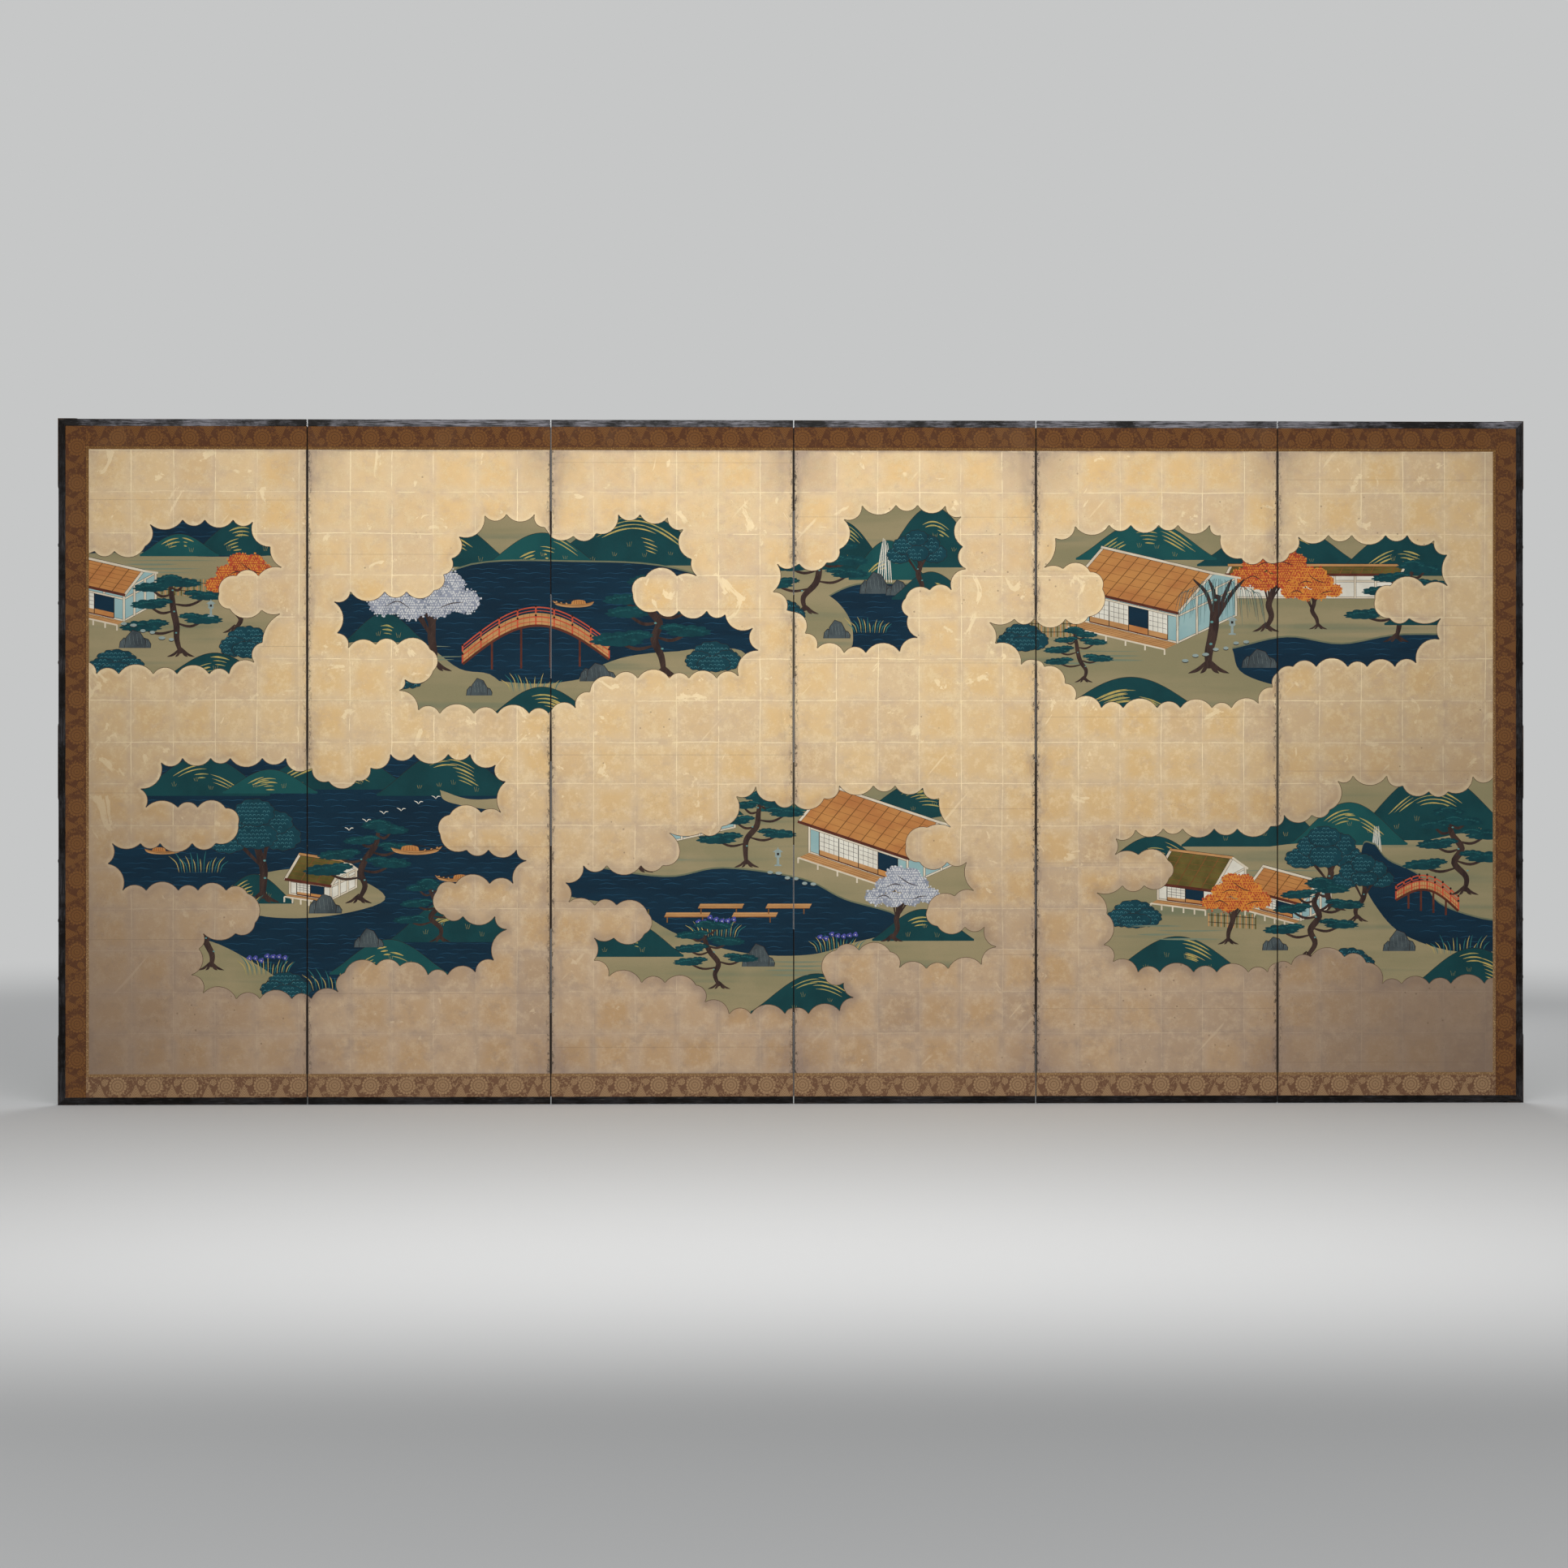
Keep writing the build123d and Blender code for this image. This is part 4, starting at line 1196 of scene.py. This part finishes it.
def temple():
    hill(1240, 1376, 420, 112, 41)
    hill(1560, 1352, 360, 110, 42, "hill", -0.3)
    hill(900, 1392, 360, 96, 43, "hill_light")
    mist(620, 1330, 240, 44)
    wall(Plane(1120, 1290, (420, 0), (0, 60)), 8, "foam")
    roofed(Plane(1106, 1350, (446, 0), (12, 24)), "thatch", 26, 3)
    water([(1120, 1160), (1260, 1190), (1400, 1172), (1560, 1196), (1760, 1180), (1760, 1090), (1500, 1040),
           (1290, 1056), (1150, 1096)], 45)
    dotted_tree(1206, 1212, 216, 20, 46, ("maple", "maple_light"))
    house(730, 1232, (250, -58), (150, 70), 96, 52, bays=5, opened=2)
    willow(1060, 1110, 250, 26, 47)
    dotted_tree(1340, 1216, 150, -18, 48, ("maple_light", "maple"))
    fence(600, 1190, 130, 42)
    stones(1000, 1130, 7, 26, 8)
    lantern(1120, 1196, 50)
    clump(584, 1186, 120, 70, 49)
    pine(1540, 1186, 186, 42, 50)
    rocks(1190, 1112, 60, 51)
    rocks(1450, 1066, 48, 52)
    irises(1290, 1046, 110, 48, 53)
    hill(860, 988, 420, 100, 54)
    mist(700, 1120, 260, 55)
    pine(740, 1080, 130, -24, 56)
    hill(1640, 1226, 260, 66, 57)


def lake():
    water([(-1790, 700), (-1700, 900), (-1200, 905), (-700, 890), (-650, 480), (-900, 280), (-1400, 250),
           (-1720, 310), (-1790, 560)], 61)
    hill(-1500, 790, 340, 96, 62)
    hill(-1180, 806, 420, 96, 63, "hill", 0.3)
    hill(-880, 790, 360, 110, 64)
    hill(-1330, 796, 240, 56, 65, "hill_light")
    land((-900, 800), (-820, 776), (-700, 780), (-640, 760), (-640, 740), (-760, 748), (-880, 770))
    hill(-760, 664, 220, 66, 66)
    land((-1470, 516), (-1400, 572), (-1260, 600), (-1110, 574), (-1040, 520), (-1180, 480), (-1340, 478))
    hill(-1370, 516, 200, 70, 67)
    house(-1280, 536, (104, -16), (64, 32), 46, 38, "thatch", 3, 1, "foam")
    leafy_tree(-1350, 524, 230, -20, 68)
    pine(-1106, 520, 190, 50, 69)
    rocks(-1190, 486, 56, 70)
    reeds(-1450, 500, 90, 44, 71)
    boat(-960, 640, 128)
    boat(-860, 570, 100, -1)
    boat(-1600, 640, 96)
    geese(-1130, 704, 6, 44, 72)
    reeds(-1560, 590, 110, 56, 73)
    land((-1640, 410), (-1500, 420), (-1380, 366), (-1290, 300), (-1280, 240), (-1640, 240))
    leafy_tree(-1480, 350, 176, -20, 74)
    irises(-1390, 330, 110, 52, 75)
    hill(-860, 418, 340, 110, 76)
    hill(-1030, 336, 300, 84, 77, "hill_light")
    pine(-900, 420, 150, -30, 78)
    reeds(-1220, 290, 130, 60, 79)
    rocks(-1080, 400, 50, 80)
    clump(-1290, 300, 120, 66, 81)


def villa():
    hill(-240, 716, 280, 92, 82)
    hill(340, 724, 380, 104, 83)
    hill(40, 750, 260, 66, 84, "hill_light")
    land((-600, 690), (-300, 716), (0, 746), (300, 726), (540, 700), (540, 210), (-600, 210))
    mist(-480, 610, 260, 85)
    water([(-560, 612), (-330, 578), (-180, 600), (20, 572), (130, 520), (260, 480), (240, 436), (150, 410),
           (40, 380), (-120, 384), (-290, 430), (-420, 500), (-600, 540)], 86)
    wall(Plane(-330, 664, (180, 40), (0, 52)), 4)
    stones(-60, 590, 6, 22, -7)
    lantern(-40, 606, 48)
    house(40, 640, (250, -84), (130, 58), 88, 50, bays=5, opened=3)
    planks(-330, 476, 4)
    irises(-250, 424, 110, 54, 87)
    irises(60, 386, 110, 48, 88)
    leafy_tree(-400, 600, 224, 30, 89)
    pine(-120, 610, 176, 34, 90)
    clump(-500, 640, 120, 66, 91)
    hill(330, 420, 260, 76, 92)
    dotted_tree(250, 420, 180, 24, 93)
    clump(190, 330, 130, 70, 94)
    rocks(-90, 350, 56, 95)
    pine(-190, 300, 160, -34, 96)
    hill(-420, 380, 280, 84, 97)
    hill(60, 236, 340, 96, 98)
    mist(-60, 330, 200, 99)
    fence(-480, 470, 110, 40, 10)


def hamlet():
    hill(1180, 660, 380, 140, 101)
    hill(1640, 676, 440, 170, 102, "hill", -0.2)
    hill(1420, 664, 300, 104, 103, "hill_light")
    hill(920, 596, 300, 86, 104)
    land((760, 606), (1050, 630), (1300, 664), (1500, 650), (1860, 676), (1860, 280), (760, 280))
    mist(1120, 560, 300, 105)
    fall_of_water(1476, 620, 26, 92)
    water([(1486, 660), (1520, 620), (1600, 580), (1650, 510), (1760, 470), (1870, 456), (1870, 400),
           (1700, 386), (1560, 430), (1490, 500), (1452, 580), (1456, 660)], 106)
    house(930, 520, (140, -18), (84, 44), 54, 50, "thatch", 3, 1, "foam")
    house(1170, 500, (126, -34), (76, 34), 52, 34, bays=3)
    fence(1060, 452, 120, 36, 8)
    leafy_tree(1376, 500, 190, -20, 107)
    leafy_tree(1440, 470, 150, 16, 108)
    dotted_tree(1110, 412, 170, 20, 109, ("maple_light", "maple"))
    bridge(1540, 520, 1700, 492, 40, 20)
    pine(1310, 372, 190, 36, 110)
    pine(1716, 540, 200, -40, 111)
    clump(868, 480, 130, 70, 112)
    rocks(1548, 388, 56, 113)
    reeds(1640, 380, 130, 50, 114)
    hill(980, 330, 360, 96, 115)
    hill(1740, 300, 320, 96, 116)
    clump(1420, 360, 120, 66, 117)
    rocks(1230, 390, 44, 118)
    mist(860, 420, 220, 119)


for scene in (tea_house, arched_bridge, waterfall, temple, lake, villa, hamlet):
    scene()


# ======================================================================================
# Building meshes
# ======================================================================================
def mesh_piece(name, points, faces, materials, indices=None):
    """A new object in the scene. indices says which of its materials each face has."""
    mesh = bpy.data.meshes.new(name)
    mesh.from_pydata(points, [], faces)
    for material in materials:
        mesh.materials.append(material)
    if indices is not None:
        mesh.polygons.foreach_set("material_index", indices)
    piece = bpy.data.objects.new(name, mesh)
    bpy.context.scene.collection.objects.link(piece)
    return piece


def painted_panel(number):
    """The coats of paint that fall on one panel, cut off at its four sides."""
    left, right = panel_boxes[number - 1][0].x, panel_boxes[number - 1][1].x
    step = PAINT_DEPTH / int(painting.covered.max())
    points, faces, indices = [], [], []
    for paint, level, spots, patch in painting.coats:
        spots_x = [x * MM for x, _ in spots]
        if max(spots_x) < left or min(spots_x) > right:
            continue
        first = len(points)
        points += [(x * MM, paper_y - level * step, z * MM) for x, z in spots]
        faces += [tuple(first + k for k in face) for face in patch]
        indices += [paint] * len(patch)
    piece = mesh_piece(f"panel_{number}_scenes", points, faces, list(PAINTS.values()), indices)
    mesh = bmesh.new()
    mesh.from_mesh(piece.data)
    for spot, outward in (((left, 0, 0), (-1, 0, 0)), ((right, 0, 0), (1, 0, 0)),
                          ((0, 0, gold_bottom), (0, 0, -1)), ((0, 0, gold_top), (0, 0, 1))):
        everything = mesh.verts[:] + mesh.edges[:] + mesh.faces[:]
        bmesh.ops.bisect_plane(mesh, geom=everything, plane_co=spot, plane_no=outward, clear_outer=True)
    flipped = [face for face in mesh.faces if face.normal.y > 0]
    bmesh.ops.reverse_faces(mesh, faces=flipped)
    mesh.to_mesh(piece.data)
    mesh.free()
    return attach(piece, f"panel_{number}")


def rim_loops(node):
    """The closed edges of a gold layer's front face, as lists of (x, z)."""
    mesh = bmesh.new()
    mesh.from_mesh(cad[node].data)
    bmesh.ops.remove_doubles(mesh, verts=mesh.verts[:], dist=1e-6)
    front = {face for face in mesh.faces if face.normal.y < -0.9}
    onward = {}
    for face in (face for face in mesh.faces if face in front):
        for loop in face.loops:
            others = [other for other in loop.edge.link_faces if other is not face]
            if not others or others[0] not in front:
                onward.setdefault(loop.vert, []).append(loop.link_loop_next.vert)
    loops = []
    while onward:
        start = next(iter(onward))
        chain, here = [], start
        while here in onward:
            chain.append((here.co.x, here.co.z))
            ahead = onward[here].pop()
            if not onward[here]:
                del onward[here]
            here = ahead
        loops.append(chain)
    mesh.free()
    return loops


def on_side(a, b, left, right):
    """Is the edge from a to b one of the panel's own straight sides, and not a cloud's rim?"""
    return any(max(abs(a[axis] - at), abs(b[axis] - at)) < TOUCH
               for axis, sides in ((0, (left, right)), (1, (gold_bottom, gold_top))) for at in sides)


def at_border(point, left, right):
    """Does the point lie on one of the panel's own four sides?"""
    return min(abs(point[0] - left), abs(point[0] - right), abs(point[1] - gold_bottom),
               abs(point[1] - gold_top)) < TOUCH


def rounded(chain, left, right):
    """A loop with each lobe drawn as a smooth arc. Returns points and, for each edge, if it is a rim."""
    n = len(chain)
    rims = [not on_side(chain[i], chain[(i + 1) % n], left, right) for i in range(n)]
    corners = []
    for i in range(n):
        a, b, c = chain[i - 1], chain[i], chain[(i + 1) % n]
        before, after = hypot(b[0] - a[0], b[1] - a[1]), hypot(c[0] - b[0], c[1] - b[1])
        turn = (atan2(c[1] - b[1], c[0] - b[0]) - atan2(b[1] - a[1], b[0] - a[0]) + pi) % (2 * pi) - pi
        # Inside a lobe the straight cuts are equally long, except where a fold or border ends one.
        even = abs(before - after) < EVEN_CUTS * max(before, after)
        clipped = at_border(a, left, right) or at_border(c, left, right)
        in_lobe = rims[i] and rims[i - 1] and LOBE_TURN[0] < turn < LOBE_TURN[1] and (even or clipped)
        corners.append(not in_lobe)
    starts = [i for i in range(n) if corners[i]]
    points, edges = [], []
    for start, end in zip(starts, starts[1:] + [starts[0] + n]):
        run = [chain[i % n] for i in range(start, end + 1)]
        if len(run) < 3 or not rims[start]:
            points.append(run[0])
            edges.append(rims[start])
            continue
        for step in range(LOBE_STEPS):
            points.append(arc_point(run[0], run[len(run) // 2], run[-1], step / LOBE_STEPS))
            edges.append(True)
    return points, edges


def arc_point(a, b, c, share):
    """The point a share of the way along the circle through a, b and c, from a to c."""
    a, b, c = np.array(a), np.array(b), np.array(c)
    area = (b[0] - a[0]) * (c[1] - a[1]) - (b[1] - a[1]) * (c[0] - a[0])
    if abs(area) < 1e-9:
        return tuple(a + (c - a) * share)
    sa, sb, sc = a @ a, b @ b, c @ c
    centre = np.array((sa * (b[1] - c[1]) + sb * (c[1] - a[1]) + sc * (a[1] - b[1]),
                       sa * (c[0] - b[0]) + sb * (a[0] - c[0]) + sc * (b[0] - a[0]))) / (2 * area)
    start, end = np.arctan2(*(a - centre)[::-1]), np.arctan2(*(c - centre)[::-1])
    sweep = (end - start) % (2 * pi) if area > 0 else -((start - end) % (2 * pi))
    turn = start + sweep * share
    return tuple(centre + hypot(*(a - centre)) * np.array((cos(turn), sin(turn))))


def distances(spots, starts, ends):
    """Distance from each spot to the nearest of the edges."""
    best = np.full(len(spots), FAR)
    for a, b in zip(starts, ends):
        run = b - a
        share = np.clip(((spots - a) @ run) / max(run @ run, 1e-12), 0, 1)
        best = np.minimum(best, np.hypot(*(spots - a - share[:, None] * run).T))
    return best


def inside_loops(spots, starts, ends):
    """Which spots lie inside an odd number of loops."""
    odd = np.zeros(len(spots), bool)
    for (ax, az), (bx, bz) in zip(starts, ends):
        spans = (spots[:, 1] < az) != (spots[:, 1] < bz)
        if az != bz:
            odd ^= spans & (spots[:, 0] < ax + (spots[:, 1] - az) / (bz - az) * (bx - ax))
    return odd


def gold_panel(number, material):
    """One panel's gold clouds, with round lobes and points close enough to shade their rims.

    Returns the edges that are a cloud's rim.
    """
    left, right = gold_boxes[number - 1][0].x, gold_boxes[number - 1][1].x
    loops = [rounded(chain, left, right) for chain in rim_loops(f"panel_{number}_gold_clouds")]
    spots, edges, rims = [], [], []
    for points, flags in loops:
        first, n = len(spots), len(points)
        spots += points
        edges += [(first + i, first + (i + 1) % n) for i in range(n)]
        rims += flags
    rim = np.array(spots)
    starts, ends = rim[[a for a, _ in edges]], rim[[b for _, b in edges]]
    xs = np.arange(left + GOLD_GRID / 2, right, GOLD_GRID)
    zs = np.arange(gold_bottom + GOLD_GRID / 2, gold_top, GOLD_GRID)
    grid = np.array([(x + (k % 2) * GOLD_GRID / 2, z) for k, z in enumerate(zs)
                     for x in xs if x + GOLD_GRID / 2 < right])
    reach = distances(grid, starts, ends)
    grid = grid[inside_loops(grid, starts, ends) & (reach > GOLD_GRID * 0.3)]
    flat, _, faces, *_ = delaunay_2d_cdt([Vector(p) for p in [*spots, *grid]], edges, [], 0, 1e-7)
    flat = np.array([tuple(p) for p in flat])
    middles = np.array([flat[list(face)].mean(0) for face in faces])
    kept = inside_loops(middles, starts, ends)
    faces = [tuple(face) for face, keep in zip(faces, kept) if keep]
    points = [(x, gold_y, z) for x, z in flat]
    # The layer's thickness shows as a narrow wall all round.
    back = len(points)
    points += [(x, paper_y, z) for x, z in rim]
    points += [(x, gold_y, z) for x, z in rim]
    n = len(rim)
    walls = [(back + n + a, back + n + b, back + b, back + a) for a, b in edges]
    piece = mesh_piece(f"panel_{number}_gold_leaf", points, faces + walls, [material])
    mesh = bmesh.new()
    mesh.from_mesh(piece.data)
    bmesh.ops.reverse_faces(mesh, faces=[face for face in mesh.faces if face.normal.y > 0.5])
    mesh.to_mesh(piece.data)
    mesh.free()
    place = np.array([(p[0], p[2]) for p in points])
    on_rim = np.array(rims)
    store(piece, "rim", distances(place, starts[on_rim], ends[on_rim]))
    squares = np.column_stack(((place[:, 0] - left) / LEAF_PITCH, (gold_top - place[:, 1]) / LEAF_PITCH,
                               np.full(len(place), number)))
    store(piece, "leaf", squares)
    # The outer sides of the first and last panel meet brocade, and only the folds are worn bare.
    side = np.minimum(place[:, 0] - left + FOLD_FREE * (number == 1),
                      right - place[:, 0] + FOLD_FREE * (number == PANELS))
    end = np.minimum(place[:, 1] - gold_bottom, gold_top - place[:, 1])
    store(piece, "place", np.column_stack((side, end, np.full(len(place), GRIME[number - 1]))))
    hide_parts(f"panel_{number}_gold_clouds")
    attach(piece, f"panel_{number}")
    return list(zip(starts[on_rim], ends[on_rim]))


def store(piece, name, values):
    """Keep a number or a vector for each point, for the gold's material to read."""
    kind = "FLOAT" if values.ndim == 1 else "FLOAT_VECTOR"
    attribute = piece.data.attributes.new(name, kind, "POINT")
    attribute.data.foreach_set("value" if values.ndim == 1 else "vector", values.astype(np.float32).ravel())


def rim_line(number, line):
    """The thin brown line that a painter draws round each cloud, just inside the gold's edge."""
    points, faces = [], []
    for a, b in line:
        run = b - a
        inward = np.array((-run[1], run[0])) / max(hypot(*run), 1e-9) * OUTLINE_WIDTH
        first = len(points)
        points += [(x, gold_y - LINE_LIFT, z) for x, z in (a, b, b + inward, a + inward)]
        faces.append((first, first + 1, first + 2, first + 3))
    piece = mesh_piece(f"panel_{number}_cloud_line", points, faces, [PAINTS["gold_edge"]])
    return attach(piece, f"panel_{number}")


gold = gold_leaf()
for number in range(1, PANELS + 1):
    painted_panel(number)
    rim_line(number, gold_panel(number, gold))

# ---- Finishes for the frame, cloth, papers and metal that come with the model ----
metal, tongue_paper = dark_metal(), hinge_paper()
finishes = {
    "core": wood(), "painting": ground_paper(), "back_paper": back_paper(), "brocade": brocade(),
    # The top rails get much grey and the bottom rails and stiles little: dust, and painted reflection of the
    # light from above on the top rails.
    "top_rail": lacquer("lacquer_top", "X", 0.9), "bottom_rail": lacquer("lacquer_bottom", "X", 0.08),
    "stile": lacquer("lacquer_side", "Z", 0.12), "studs": metal, "edge_plates": metal,
    "tongues_front_to_back": tongue_paper, "tongues_back_to_front": tongue_paper,
}
for name, node in cad.items():
    for ending, material in finishes.items():
        if name.endswith(ending):
            node.data.materials.clear()
            node.data.materials.append(material)


# ======================================================================================
# Room, light and camera
# ======================================================================================
PALE = linear("C6C7C7")
# The light that comes from all round, beside the lamps, and how bright it is.
SKY_LIGHT = 0.34
LAMP_WHITE = tuple(SKY_LIGHT * v for v in (0.9, 0.92, 0.95)) + (1.0,)
# The floor in metres, and the distances over which it fades into the backdrop.
FLOOR_HALF = 40.0
FADE_FROM, FADE_TO = 2.6, 8.0


def studio_floor():
    """Pale paper that fades into the backdrop's colour with distance, for what the camera sees."""
    s = Shader("studio_floor", roughness=0.9)
    s.colour(s.mix(s.noise(0.6, detail=3.0) * 0.06, "D9D9D8", "B9B9B7"))
    x, y, _ = s.split(s.place)
    far = s.math("SQRT", x * x + y * y)
    seen = s.node("ShaderNodeLightPath").outputs["Is Camera Ray"]
    glow = s.node("ShaderNodeEmission")
    glow.inputs["Color"].default_value = PALE
    blend = s.node("ShaderNodeMixShader")
    s.put(blend.inputs[0], seen * s.between(far, FADE_FROM, FADE_TO))
    s.put(blend.inputs[1], s.surface.outputs[0])
    s.put(blend.inputs[2], glow.outputs[0])
    s.put(s.tree.nodes["Material Output"].inputs["Surface"], blend.outputs[0])
    return s.material


floor_corners = [(x * FLOOR_HALF, y * FLOOR_HALF, 0) for x, y in ((-1, -1), (1, -1), (1, 1), (-1, 1))]
mesh_piece("studio_floor", floor_corners, [(0, 1, 2, 3)], [studio_floor()])

world = bpy.data.worlds.new("studio_world")
bpy.context.scene.world = world
world.use_nodes = True
nodes, links = world.node_tree.nodes, world.node_tree.links


def either(first, second):
    """1 where a ray is of the first or of the second kind."""
    made = nodes.new("ShaderNodeMath")
    made.operation, made.use_clamp = "ADD", True
    links.new(first, made.inputs[0])
    links.new(second, made.inputs[1])
    return made.outputs[0]


# The camera, mirrors and clear things see the pale backdrop, and everything else is lit by a dimmer sky.
ray, sky = nodes.new("ShaderNodeLightPath"), nodes.new("ShaderNodeMix")
sky.data_type = "RGBA"
mirrored = either(ray.outputs["Is Glossy Ray"], ray.outputs["Is Transmission Ray"])
links.new(either(ray.outputs["Is Camera Ray"], mirrored), sky.inputs[MIX_FACTOR])
sky.inputs[MIX_FIRST].default_value, sky.inputs[MIX_SECOND].default_value = LAMP_WHITE, PALE
links.new(sky.outputs[MIX_RESULT], nodes["Background"].inputs["Color"])


def softbox(name, place, target, size, power, spread=180.0):
    """A rectangular lamp at a place, turned to a target, of a power in watts."""
    light = bpy.data.lights.new(name, "AREA")
    light.shape = "RECTANGLE"
    light.size, light.size_y = size
    light.energy = power
    light.spread = radians(spread)
    lamp = bpy.data.objects.new(name, light)
    lamp.location = place
    lamp.rotation_euler = (Vector(target) - Vector(place)).to_track_quat("-Z", "Y").to_euler()
    bpy.context.scene.collection.objects.link(lamp)


softbox("key_light", (0.0, -4.2, 2.3), (0.0, 0, 0.7), (4.1, 1.0), 86, 140.0)
softbox("fill_light", (-2.6, -5.5, 1.8), (0, 0, 0.9), (2.6, 2.2), 12)
softbox("back_light", (0.6, 4.4, 2.3), (0, 0, 0.8), (3.0, 1.2), 58, 140.0)

CAMERA_DISTANCE = 8.6
CAMERA_AZIMUTH = radians(-1.1)
CAMERA_HEIGHT = 0.815
CAMERA_AIM_X = -0.0245
SENSOR_WIDTH = 36.0
# How much of the room the picture spans at the screen.
FRAME_WIDTH = 3.998
camera_data = bpy.data.cameras.new("camera")
camera = bpy.data.objects.new("camera", camera_data)
camera_data.sensor_width = SENSOR_WIDTH
camera_data.sensor_fit = "HORIZONTAL"
camera_data.lens = SENSOR_WIDTH * CAMERA_DISTANCE / FRAME_WIDTH
aim = Vector((CAMERA_AIM_X, 0, CAMERA_HEIGHT))
camera.location = aim + Vector((sin(CAMERA_AZIMUTH), -cos(CAMERA_AZIMUTH), 0)) * CAMERA_DISTANCE
camera.rotation_euler = (aim - camera.location).to_track_quat("-Z", "Y").to_euler()
bpy.context.scene.collection.objects.link(camera)
bpy.context.scene.camera = camera
bpy.context.scene.view_settings.view_transform = "Standard"
